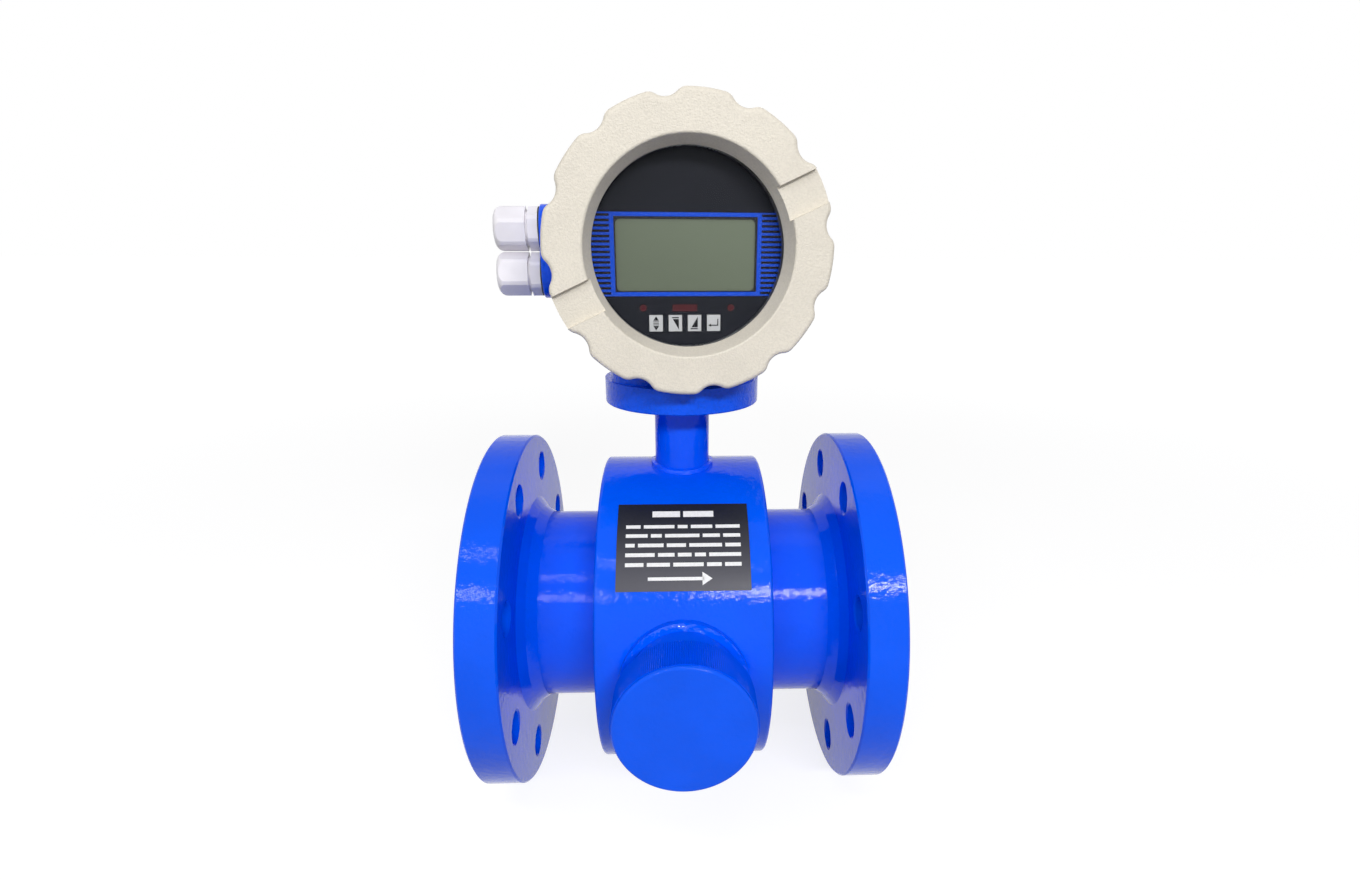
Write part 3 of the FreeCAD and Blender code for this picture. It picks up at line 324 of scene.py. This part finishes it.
def blue_paint(name, colour, peel, grain, speck=0.0):
    """Glossy enamel whose orange peel breaks up the reflections, with dark specks on castings."""
    graph = new_graph(name)
    place = graph.place()
    wide = graph.noise(place, scale=30.0)
    fine = graph.noise(place, scale=grain, detail=3.0, roughness=0.55)
    shade = graph.mix(wide.ramp(0.3, 0.75), shaded(colour, 0.90), colour)
    specks = fine.ramp(0.5, 0.62) * speck
    shade = graph.mix(specks, shade, shaded(colour, 0.35))
    return graph.finish(base_color=shade, roughness=wide * 0.05 + 0.06, specular_ior_level=0.13,
                        normal=graph.bump(fine, strength=peel, distance=0.0006))


def weld_paint(name, colour):
    """The same enamel, run over the ripples of a weld bead."""
    graph = new_graph(name)
    place = graph.place()
    lumps = graph.noise(place, scale=110.0)
    ripples = graph.noise(place, scale=300.0)
    bead = lumps * 0.6 + ripples * 0.4
    return graph.finish(base_color=colour, roughness=lumps * 0.05 + 0.05, specular_ior_level=0.4,
                        normal=graph.bump(bead, strength=1.0, distance=0.0018))


def wrinkle_powder(name, colour):
    """Beige powder coat with a fine wrinkle, and painted shade in the wrinkle's hollows."""
    graph = new_graph(name)
    place = graph.place()
    wide = graph.noise(place, scale=45.0, detail=3.0)
    wrinkle = graph.noise(place, scale=900.0, detail=4.0, roughness=0.6)
    grain = graph.cells(place, scale=1300.0)
    shade = graph.mix(wide.ramp(0.3, 0.7), shaded(colour, 0.94), colour)
    # Painted shade: the colour darkens where the wrinkle's relief is low.
    painted_hollow_shade = wrinkle.ramp(0.62, 0.35) * 0.5
    shade = graph.mix(painted_hollow_shade, shade, shaded(colour, 0.82))
    relief = wrinkle * 0.75 + grain * 0.4
    return graph.finish(base_color=shade, roughness=wide * 0.1 + 0.42, specular_ior_level=0.45,
                        normal=graph.bump(relief, strength=0.55, distance=0.0006))


def moulded(name, colour, roughness=0.35, grain=250.0, depth=0.15, gloss=0.4):
    """Moulded plastic with a faint texture and slight unevenness."""
    graph = new_graph(name)
    place = graph.place()
    wide = graph.noise(place, scale=60.0)
    fine = graph.noise(place, scale=grain, detail=3.0)
    shade = graph.mix(wide.ramp(0.3, 0.7), shaded(colour, 0.93), colour)
    return graph.finish(base_color=shade, roughness=fine * 0.08 + roughness,
                        specular_ior_level=gloss,
                        normal=graph.bump(fine, strength=depth, distance=0.0003))


def rubber(name, colour):
    """Matt black rubber with a fine grain."""
    graph = new_graph(name)
    fine = graph.noise(graph.place(), scale=900.0, detail=3.0)
    shade = graph.mix(fine, shaded(colour, 0.7), colour)
    return graph.finish(base_color=shade, roughness=fine * 0.15 + 0.6,
                        normal=graph.bump(fine, strength=0.3, distance=0.0002))


def turned_metal(name, colour, roughness=0.28):
    """Bright metal with fine tool marks."""
    graph = new_graph(name)
    place = graph.place()
    rings = {"wave_type": "RINGS", "rings_direction": "Y"}
    marks = graph.waves(place, scale=900.0, settings=rings, distortion=1.5)
    wide = graph.noise(place, scale=120.0, detail=3.0)
    shade = graph.mix(wide, shaded(colour, 0.8), colour)
    return graph.finish(base_color=shade, metallic=1.0, roughness=marks * 0.12 + roughness,
                        normal=graph.bump(marks, strength=0.15, distance=0.0001))


def winding(name, colour):
    """Varnished wire laid side by side, with painted shade between the turns."""
    graph = new_graph(name)
    turns = graph.waves(graph.place(), scale=500.0, settings={"bands_direction": "X"})
    # Painted shade: the colour darkens where the turns' relief is low, between the wires.
    shade = graph.mix(turns, shaded(colour, 0.45), colour)
    return graph.finish(base_color=shade, roughness=0.3, coat_weight=0.4,
                        normal=graph.bump(turns, strength=0.8, distance=0.0004))


def circuit(name, colour):
    """Solder mask over copper tracks."""
    graph = new_graph(name)
    tracks = graph.cells(graph.place(), scale=260.0, feature="DISTANCE_TO_EDGE")
    over_copper = tuple(min(1.0, part * 2.2 + 0.02) for part in colour)
    shade = graph.mix(tracks.ramp(0.03, 0.06), over_copper, colour)
    return graph.finish(base_color=shade, roughness=0.3,
                        normal=graph.bump(tracks, strength=0.3, distance=0.0002))


def clear_pane(name):
    """The cover's window: clear, with an anti-reflection film that leaves little gloss."""
    graph = new_graph(name)
    smear = graph.noise(graph.place(), scale=25.0, detail=3.0) * 0.06 + 0.05
    gloss = graph.node("ShaderNodeBsdfGlossy",
                       sockets={"Color": (0.9, 0.93, 1.0), "Roughness": 0.03})
    clear = graph.node("ShaderNodeBsdfTransparent", sockets={"Color": (0.98, 0.98, 0.98)})
    share = graph.node("ShaderNodeFresnel", sockets={"IOR": 1.45}) * smear
    return graph.surface(graph.node("ShaderNodeMixShader", sockets={0: share, 1: clear, 2: gloss}))


def liquid_crystal(name, colour):
    """The reflective face of the display, painted lighter towards its top right, with painted
    shadow inside the edge of its sight and a near black painted shadow round it, whose corners are
    rounded.
    """
    graph = new_graph(name)
    place = graph.place()
    across, _, up = graph.axes(place)
    left, right, bottom, top = LCD_SIGHT
    middle = HEAD @ Vector(((left + right) / 2, -PANEL_DEPTH, (bottom + top) / 2))
    half_width, half_height = (right - left) / 2, (top - bottom) / 2
    # The reach is 0 inside and grows to LCD_CORNER at the rounded edge of the sight.
    past_side = (abs(across - middle.x) - (half_width - LCD_CORNER)).at_least(0.0)
    past_end = (abs(up - middle.z) - (half_height - LCD_CORNER)).at_least(0.0)
    reach = (past_side ** 2.0 + past_end ** 2.0) ** 0.5
    # Painted light: the face is lighter towards its top and right, and darker towards its bottom
    # and left.
    painted_light_slope = (up - middle.z + (across - middle.x) * 0.35).ramp(-0.03, 0.03)
    shade = graph.mix(painted_light_slope, shaded(colour, 0.88), shaded(colour, 1.08))
    shadow = reach.ramp(0.2 * LCD_CORNER, LCD_CORNER) * 0.3
    shade = graph.mix(shadow, shade, shaded(colour, 0.45))
    speckle = graph.noise(place, scale=1500.0)
    shade = graph.mix(speckle * 0.12, shade, shaded(colour, 0.8))
    # Painted shadow: near black round the sight, where the frame's edge shades the face.
    painted_frame_shadow = reach.ramp(0.96 * LCD_CORNER, 1.04 * LCD_CORNER)
    shade = graph.mix(painted_frame_shadow, shade, (0.012, 0.012, 0.014))
    return graph.finish(base_color=shade, roughness=0.35, specular_ior_level=0.2)


def printed_film(name, dark, light):
    """A label's dark ground, which catches more light low down."""
    graph = new_graph(name)
    place = graph.place()
    up = graph.axes(place)[2]
    low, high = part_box("label_plate")
    grain = graph.noise(place, scale=600.0)
    fade = up.ramp(high.z, low.z)
    shade = graph.mix(fade, dark, light)
    shade = graph.mix(grain * 0.25, shade, shaded(light, 0.7))
    return graph.finish(base_color=shade, roughness=grain * 0.1 + 0.35, specular_ior_level=0.3,
                        normal=graph.bump(grain, strength=0.08, distance=0.0002))


def printed_ink(name, colour, roughness=0.4):
    """Printed ink, faintly uneven."""
    graph = new_graph(name)
    speckle = graph.noise(graph.place(), scale=700.0, detail=3.0)
    thin = speckle.ramp(0.35, 0.65) * 0.4
    shade = graph.mix(thin, colour, shaded(colour, 0.82))
    return graph.finish(base_color=shade, roughness=speckle * 0.1 + roughness,
                        specular_ior_level=0.12)


FINISHES = {}


def make_finishes(settings):
    """Make every material of the meter and keep it under its own name."""
    blue = tuple(settings.enamel_colour)
    beige = tuple(settings.powder_colour)
    recipes = {
        "blue_enamel": (blue_paint, blue, {"peel": 0.42, "grain": 240.0}),
        "blue_cast": (blue_paint, blue, {"peel": 1.0, "grain": 420.0, "speck": 0.15}),
        "blue_weld": (weld_paint, blue, {}),
        "beige_powder": (wrinkle_powder, beige, {}),
        "liner_ptfe": (moulded, linear(232, 232, 226), {"roughness": 0.42}),
        "copper_winding": (winding, linear(184, 100, 52), {}),
        "iron_core": (turned_metal, linear(105, 106, 110), {"roughness": 0.5}),
        "electrode_steel": (turned_metal, linear(190, 190, 192), {}),
        "seal_rubber": (rubber, linear(26, 26, 28), {}),
        "zinc_steel": (turned_metal, linear(200, 202, 206), {"roughness": 0.22}),
        "panel_black": (moulded, linear(30, 32, 39),
                        {"roughness": 0.3, "grain": 500.0, "depth": 0.04, "gloss": 0.06}),
        "lcd_face": (liquid_crystal, linear(106, 116, 98), {}),
        "key_grey": (moulded, linear(196, 198, 200), {"roughness": 0.3}),
        "lamp_red": (moulded, linear(72, 18, 26), {"roughness": 0.2, "depth": 0.05, "gloss": 0.2}),
        "circuit_board": (circuit, linear(18, 96, 52), {}),
        "terminal_plastic": (moulded, linear(44, 86, 62), {"roughness": 0.4}),
        "brass_pillar": (turned_metal, linear(206, 172, 96), {}),
        "white_nylon": (moulded, linear(236, 233, 238),
                        {"roughness": 0.32, "grain": 300.0, "depth": 0.12}),
        "label_film": (printed_film, linear(14, 18, 30), {"light": linear(64, 64, 74)}),
        "white_ink": (printed_ink, linear(238, 238, 238), {}),
        "black_ink": (printed_ink, linear(22, 22, 26), {}),
        "blue_ink": (printed_ink, linear(26, 80, 212), {"roughness": 0.3}),
    }
    for name, (recipe, colour, options) in recipes.items():
        FINISHES[name] = recipe(name, colour, **options)
    FINISHES["window_glass"] = clear_pane("window_glass")


# ---- modelling helpers ----------------------------------------------------------------------

def lay_aside():
    """Deselect every object, so that an operator works only on what is added next."""
    for item in bpy.context.selected_objects:
        item.select_set(False)


def newest(name):
    """Name the object just added and open it for editing, with everything selected."""
    item = bpy.context.object
    item.name = name
    bpy.ops.object.mode_set(mode="EDIT")
    bpy.ops.mesh.select_all(action="SELECT")
    return item


def choose(item, wanted):
    """Select the vertices whose place passes a test."""
    bpy.ops.mesh.select_all(action="DESELECT")
    bpy.ops.object.mode_set(mode="OBJECT")
    for vertex in item.data.vertices:
        vertex.select = bool(wanted(vertex.co))
    bpy.ops.object.mode_set(mode="EDIT")
    bpy.ops.mesh.select_mode(type="VERT")


def keep_between(cuts):
    """Cut the mesh being edited by planes (point, normal) and throw away what lies beyond each."""
    for point, normal in cuts:
        bpy.ops.mesh.select_all(action="SELECT")
        bpy.ops.mesh.bisect(plane_co=point, plane_no=normal, use_fill=False, clear_outer=True,
                            threshold=1e-7)
    bpy.ops.mesh.select_all(action="SELECT")


def face_outwards():
    """Turn every face of the mesh being edited outwards and leave edit mode."""
    bpy.ops.mesh.select_all(action="SELECT")
    bpy.ops.mesh.normals_make_consistent(inside=False)
    bpy.ops.object.mode_set(mode="OBJECT")


def close(item, finish, body):
    """Give the piece its finish and let it move with its body."""
    item.data.materials.clear()
    item.data.materials.append(FINISHES[finish])
    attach(item, body)
    lay_aside()


# ---- prints and knurls ----------------------------------------------------------------------

def box_cuts(left, right, low, high):
    """Planes that keep a rectangle of the head's front view."""
    return (((left, 0, 0), (-1, 0, 0)), ((right, 0, 0), (1, 0, 0)),
            ((0, 0, low), (0, 0, -1)), ((0, 0, high), (0, 0, 1)))


def polygon_cuts(corners):
    """Planes that keep a convex polygon, whose corners (across, up) run anticlockwise."""
    return [((x0, 0, z0), (z1 - z0, 0, x0 - x1))
            for (x0, z0), (x1, z1) in zip(corners, corners[1:] + corners[:1])]


def flat_print(name, finish, body, disc, cuts, depth, thick):
    """A print on the head: a disc (corners, radius, middle), trimmed by planes and thickened."""
    corners, radius, (across, up) = disc
    lay_aside()
    bpy.ops.mesh.primitive_circle_add(vertices=corners, radius=radius, fill_type="NGON")
    item = newest(name)
    bpy.ops.transform.rotate(value=-math.pi / 2, orient_axis="X", center_override=(0, 0, 0))
    bpy.ops.transform.translate(value=(across, -depth, up))
    keep_between(cuts)
    bpy.ops.mesh.extrude_region_move(TRANSFORM_OT_translate={"value": (0, -thick, 0)})
    face_outwards()
    item.data.transform(HEAD)
    item.data.update()
    close(item, finish, body)


def on_label(across, down):
    """The point on the label at a place across it and down from its upper edge, in metres."""
    angle = LABEL_START + down / LABEL_RADIUS
    return Vector((across, -LABEL_RADIUS * math.sin(angle), LABEL_RADIUS * math.cos(angle)))


def curved_print(name, corners, thick):
    """A print on the label's curve: a ring about the bore, trimmed to a convex outline."""
    lay_aside()
    bpy.ops.mesh.primitive_cylinder_add(vertices=LABEL_SIDES, radius=LABEL_RADIUS,
                                        depth=LABEL_WIDTH, end_fill_type="NOTHING")
    item = newest(name)
    bpy.ops.transform.rotate(value=-math.pi / 2, orient_axis="Y", center_override=(0, 0, 0))
    middle = sum((Vector(corner) for corner in corners), Vector((0, 0))) / len(corners)
    centre = on_label(*middle)
    outward = Vector((0, centre.y, centre.z)).normalized()
    cuts = [((0, 0, 0), -outward)]
    for first, last in zip(corners, corners[1:] + corners[:1]):
        start, end = on_label(*first), on_label(*last)
        away = (end - start).cross(outward)
        if away.dot(start - centre) < 0:
            away.negate()
        cuts.append((start, away))
    keep_between(cuts)
    bpy.ops.mesh.extrude_region_shrink_fatten(TRANSFORM_OT_shrink_fatten={"value": -thick})
    face_outwards()
    close(item, "white_ink", "meter")


def bar_corners(left, right, upper, lower):
    """The corners of a bar that lies along the bore."""
    return [(left, upper), (right, upper), (right, lower), (left, lower)]


def knurled_grip(name, body, radius, near, far, hand, settings):
    """A ring of ribs round a cap, from one distance to another in front of or behind the bore."""
    lay_aside()
    count = settings.knurl_count
    outer = radius + settings.knurl_depth
    groove = (radius + KNURL_LIFT) / outer
    sunk = (radius - KNURL_SINK) / outer
    bpy.ops.mesh.primitive_cylinder_add(vertices=2 * count, radius=outer, depth=far - near,
                                        end_fill_type="NOTHING")
    item = newest(name)
    bpy.ops.transform.rotate(value=math.pi / 2, orient_axis="X", center_override=(0, 0, 0))
    bpy.ops.transform.translate(value=(0, hand * (near + far) / 2, 0))
    choose(item, lambda place: round(math.atan2(place.x, place.z) / math.pi * count) % 2)
    bpy.ops.transform.resize(value=(groove, 1, groove), center_override=(0, 0, 0))
    for end in (near, far):
        choose(item, lambda place: abs(abs(place.y) - end) < CLOSE_ENOUGH)
        bpy.ops.mesh.extrude_region_move()
        bpy.ops.transform.resize(value=(sunk, 1, sunk), center_override=(0, 0, 0))
    face_outwards()
    close(item, "blue_enamel", body)


# ---- studio ---------------------------------------------------------------------------------

def light_panel(name, place, aim, size, power):
    """A softbox standing at one point and facing another."""
    data = bpy.data.lights.new(name, "AREA")
    data.shape = "RECTANGLE"
    data.size, data.size_y = size
    data.energy = power
    item = bpy.data.objects.new(name, data)
    bpy.context.scene.collection.objects.link(item)
    item.location = place
    item.rotation_euler = (Vector(aim) - Vector(place)).to_track_quat("-Z", "Y").to_euler()


def seen_rays(graph):
    """1 for rays from the camera and those seen in gloss or through glass."""
    rays = ("Is Camera Ray", "Is Glossy Ray", "Is Transmission Ray")
    camera, glossy, through = graph.outputs("ShaderNodeLightPath", rays)
    return camera + glossy + through


def floor_finish():
    """A pale floor that is nearly white to the eye and keeps the object's shadow."""
    graph = new_graph("floor")
    diffuse = graph.node("ShaderNodeBsdfDiffuse", sockets={"Color": FLOOR_COLOUR})
    across, along, _ = graph.axes(graph.place())
    far = ((across ** 2.0 + along ** 2.0) ** 0.5).ramp(*FLOOR_FADE)
    strength = seen_rays(graph) * (far * FLOOR_FAR_WHITE + FLOOR_WHITE)
    white = graph.node("ShaderNodeEmission", sockets={"Color": WHITE, "Strength": strength})
    return graph.surface(graph.node("ShaderNodeAddShader", sockets={0: diffuse, 1: white}))


def studio_world():
    """White where it is seen, and a softer fill where it only lights."""
    graph = Graph(bpy.data.worlds.new("studio"))
    strength = seen_rays(graph) * (1.0 - FILL) + FILL
    light = graph.node("ShaderNodeBackground", sockets={"Color": WHITE, "Strength": strength})
    return graph.surface(light, "ShaderNodeOutputWorld")


def studio_camera():
    """A camera in front of the meter, level with its head and looking slightly down."""
    data = bpy.data.cameras.new("camera")
    data.lens = CAMERA_LENS
    data.sensor_width = CAMERA_SENSOR
    data.shift_x, data.shift_y = CAMERA_SHIFT
    data.clip_start = CAMERA_NEAR
    item = bpy.data.objects.new("camera", data)
    bpy.context.scene.collection.objects.link(item)
    item.location = CAMERA_PLACE
    item.rotation_euler = [math.radians(turn) for turn in CAMERA_TURN]
    return item


# ---- the add-on -----------------------------------------------------------------------------

class MeterSettings(bpy.types.PropertyGroup):
    """Sizes and colours of what is added to the meter."""

    enamel_colour: bpy.props.FloatVectorProperty(
        name="Enamel", description="Colour of the enamel on the sensor", subtype="COLOR",
        default=linear(0, 90, 248), min=0, max=1)
    powder_colour: bpy.props.FloatVectorProperty(
        name="Powder coat", description="Colour of the powder coat on the covers", subtype="COLOR",
        default=linear(226, 219, 205), min=0, max=1)
    stripe_count: bpy.props.IntProperty(
        name="Stripes", description="Dark bars on each side of the display", default=16, min=2)
    stripe_pitch: bpy.props.FloatProperty(
        name="Stripe pitch", description="Spacing of the dark bars", default=2.58 * MM,
        unit="LENGTH")
    stripe_share: bpy.props.FloatProperty(
        name="Stripe share", description="Share of the pitch that is dark", default=0.5,
        subtype="FACTOR")
    print_thick: bpy.props.FloatProperty(
        name="Print thickness", description="Thickness of printed ink", default=0.05 * MM,
        unit="LENGTH")
    knurl_count: bpy.props.IntProperty(
        name="Knurl ribs", description="Ribs around each electrode cap", default=200, min=12)
    knurl_depth: bpy.props.FloatProperty(
        name="Knurl depth", description="Depth of the knurl's grooves", default=0.6 * MM,
        unit="LENGTH")


def settings_of(context):
    """The meter's own settings in this scene."""
    return context.scene.meter_settings


class METER_OT_finish(bpy.types.Operator):
    """Give every CAD node its finish"""

    bl_idname = "meter.finish"
    bl_label = "Finish Meter"

    def execute(self, context):
        make_finishes(settings_of(context))
        for name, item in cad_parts.items():
            slots = item.material_slots
            if not slots:
                raise RuntimeError(f"{name} has no material slot")
            for slot in slots:
                kind = "blue_weld" if name in BLUE_WELDS else slot.material.name.split(".")[0]
                if kind not in FINISHES:
                    raise RuntimeError(f"{name} has no finish for {kind}")
                slot.material = FINISHES[kind]
        return {"FINISHED"}


class METER_OT_display(bpy.types.Operator):
    """Print the frame and bars around the display"""

    bl_idname = "meter.display"
    bl_label = "Print Display"

    def execute(self, context):
        settings = settings_of(context)
        thick = settings.print_thick
        panel_low, panel_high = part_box("display_panel")
        disc = (PANEL_CORNERS, (panel_high.z - panel_low.z) / 2 - PANEL_MARGIN, (0, 0))
        outer_left, outer_right, bottom, top = FRAME_EDGE
        left, right, low, high = FRAME_OPENING
        fields = {"left": (-BEYOND, left, bottom, top), "right": (right, BEYOND, bottom, top),
                  "low": (left, right, bottom, low), "high": (left, right, high, top)}
        for name, sides in fields.items():
            flat_print("field_" + name, "blue_ink", "meter", disc, box_cuts(*sides),
                       PANEL_DEPTH, thick)
        dark = settings.stripe_pitch * settings.stripe_share / 2
        for name, sides in {"left": (-BEYOND, outer_left), "right": (outer_right, BEYOND)}.items():
            for index in range(settings.stripe_count):
                middle = top - FIRST_BAR - index * settings.stripe_pitch
                flat_print(f"bar_{name}_{index + 1}", "black_ink", "meter", disc,
                           box_cuts(*sides, middle - dark, middle + dark),
                           PANEL_DEPTH + thick, thick)
        return {"FINISHED"}


class METER_OT_keys(bpy.types.Operator):
    """Mark each key with its sign"""

    bl_idname = "meter.keys"
    bl_label = "Mark Keys"

    def execute(self, context):
        thick = settings_of(context).print_thick
        for name, outlines in KEY_MARKS.items():
            low, high = (HEAD.inverted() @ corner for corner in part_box("key_" + name))
            middle = (low + high) / 2
            disc = (KEY_CORNERS, KEY_DISC, (middle.x, middle.z))
            for index, outline in enumerate(outlines):
                corners = [(middle.x + x * SIGN, middle.z + z * SIGN) for x, z in outline]
                flat_print(f"mark_{name}_{index + 1}", "black_ink", name + "_key", disc,
                           polygon_cuts(corners), KEY_FACE, thick)
        return {"FINISHED"}


class METER_OT_label(bpy.types.Operator):
    """Lay rows of plain bars and the flow arrow on the label"""

    bl_idname = "meter.label"
    bl_label = "Print Label"

    def execute(self, context):
        thick = settings_of(context).print_thick
        prints = {}
        for row, (middle, height, widths) in enumerate(LABEL_ROWS):
            left = -(sum(widths) + WORD_GAP * (len(widths) - 1)) / 2
            for word, width in enumerate(widths):
                prints[f"text_{row + 1}_{word + 1}"] = bar_corners(
                    left, left + width, middle - height / 2, middle + height / 2)
                left += width + WORD_GAP
        middle, half, spread = ARROW["middle"], ARROW["half"], ARROW["spread"]
        neck = ARROW["neck"]
        prints["arrow_shaft"] = bar_corners(
            ARROW["tail"], neck + ARROW["overlap"], middle - half, middle + half)
        prints["arrow_head"] = [
            (neck, middle - spread), (ARROW["tip"], middle), (neck, middle + spread)]
        for name, corners in prints.items():
            curved_print(name, [(x * MM, y * MM) for x, y in corners], thick)
        return {"FINISHED"}


class METER_OT_knurls(bpy.types.Operator):
    """Put a knurled grip round each electrode cap"""

    bl_idname = "meter.knurls"
    bl_label = "Knurl Caps"

    def execute(self, context):
        for side, hand in {"front": -1, "rear": 1}.items():
            low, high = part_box("electrode_cap_" + side)
            root, face = sorted((abs(low.y), abs(high.y)))
            knurled_grip("knurl_" + side, side + "_cap", (high.x - low.x) / 2,
                         root + KNURL_ROOT, face - KNURL_FACE, hand, settings_of(context))
        return {"FINISHED"}


class METER_OT_stage(bpy.types.Operator):
    """Set up the floor, the lights and the camera"""

    bl_idname = "meter.stage"
    bl_label = "Set Stage"

    def execute(self, context):
        lay_aside()
        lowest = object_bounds()[0][2]
        bpy.ops.mesh.primitive_plane_add(size=FLOOR_SIZE, location=(0, 0, lowest - FLOOR_GAP))
        floor = context.object
        floor.name = "floor"
        floor.data.materials.append(floor_finish())
        floor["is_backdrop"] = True
        for name, (place, aim, size, power) in LIGHTS.items():
            light_panel(name, place, aim, size, power)
        context.scene.world = studio_world()
        context.scene.camera = studio_camera()
        context.scene.view_settings.view_transform = "Standard"
        return {"FINISHED"}


class METER_PT_panel(bpy.types.Panel):
    """Settings and steps of the meter's finish"""

    bl_idname = "METER_PT_panel"
    bl_label = "Flow Meter"
    bl_space_type = "VIEW_3D"
    bl_region_type = "UI"
    bl_category = "Flow Meter"

    def draw(self, context):
        layout = self.layout
        for name in MeterSettings.__annotations__:
            layout.prop(settings_of(context), name)
        for step in STEPS:
            layout.operator(step.bl_idname)


STEPS = (METER_OT_finish, METER_OT_display, METER_OT_keys, METER_OT_label, METER_OT_knurls,
         METER_OT_stage)
CLASSES = (MeterSettings, *STEPS, METER_PT_panel)


def register():
    """Make the settings, steps and panel known to Blender."""
    for item in CLASSES:
        bpy.utils.register_class(item)
    bpy.types.Scene.meter_settings = bpy.props.PointerProperty(type=MeterSettings)


def unregister():
    """Take back what register made known."""
    del bpy.types.Scene.meter_settings
    for item in reversed(CLASSES):
        bpy.utils.unregister_class(item)


def main():
    """Run every step on the frame."""
    register()
    bpy.ops.meter.finish()
    bpy.ops.meter.display()
    bpy.ops.meter.keys()
    bpy.ops.meter.label()
    bpy.ops.meter.knurls()
    bpy.ops.meter.stage()


if __name__ == "__main__":
    main()
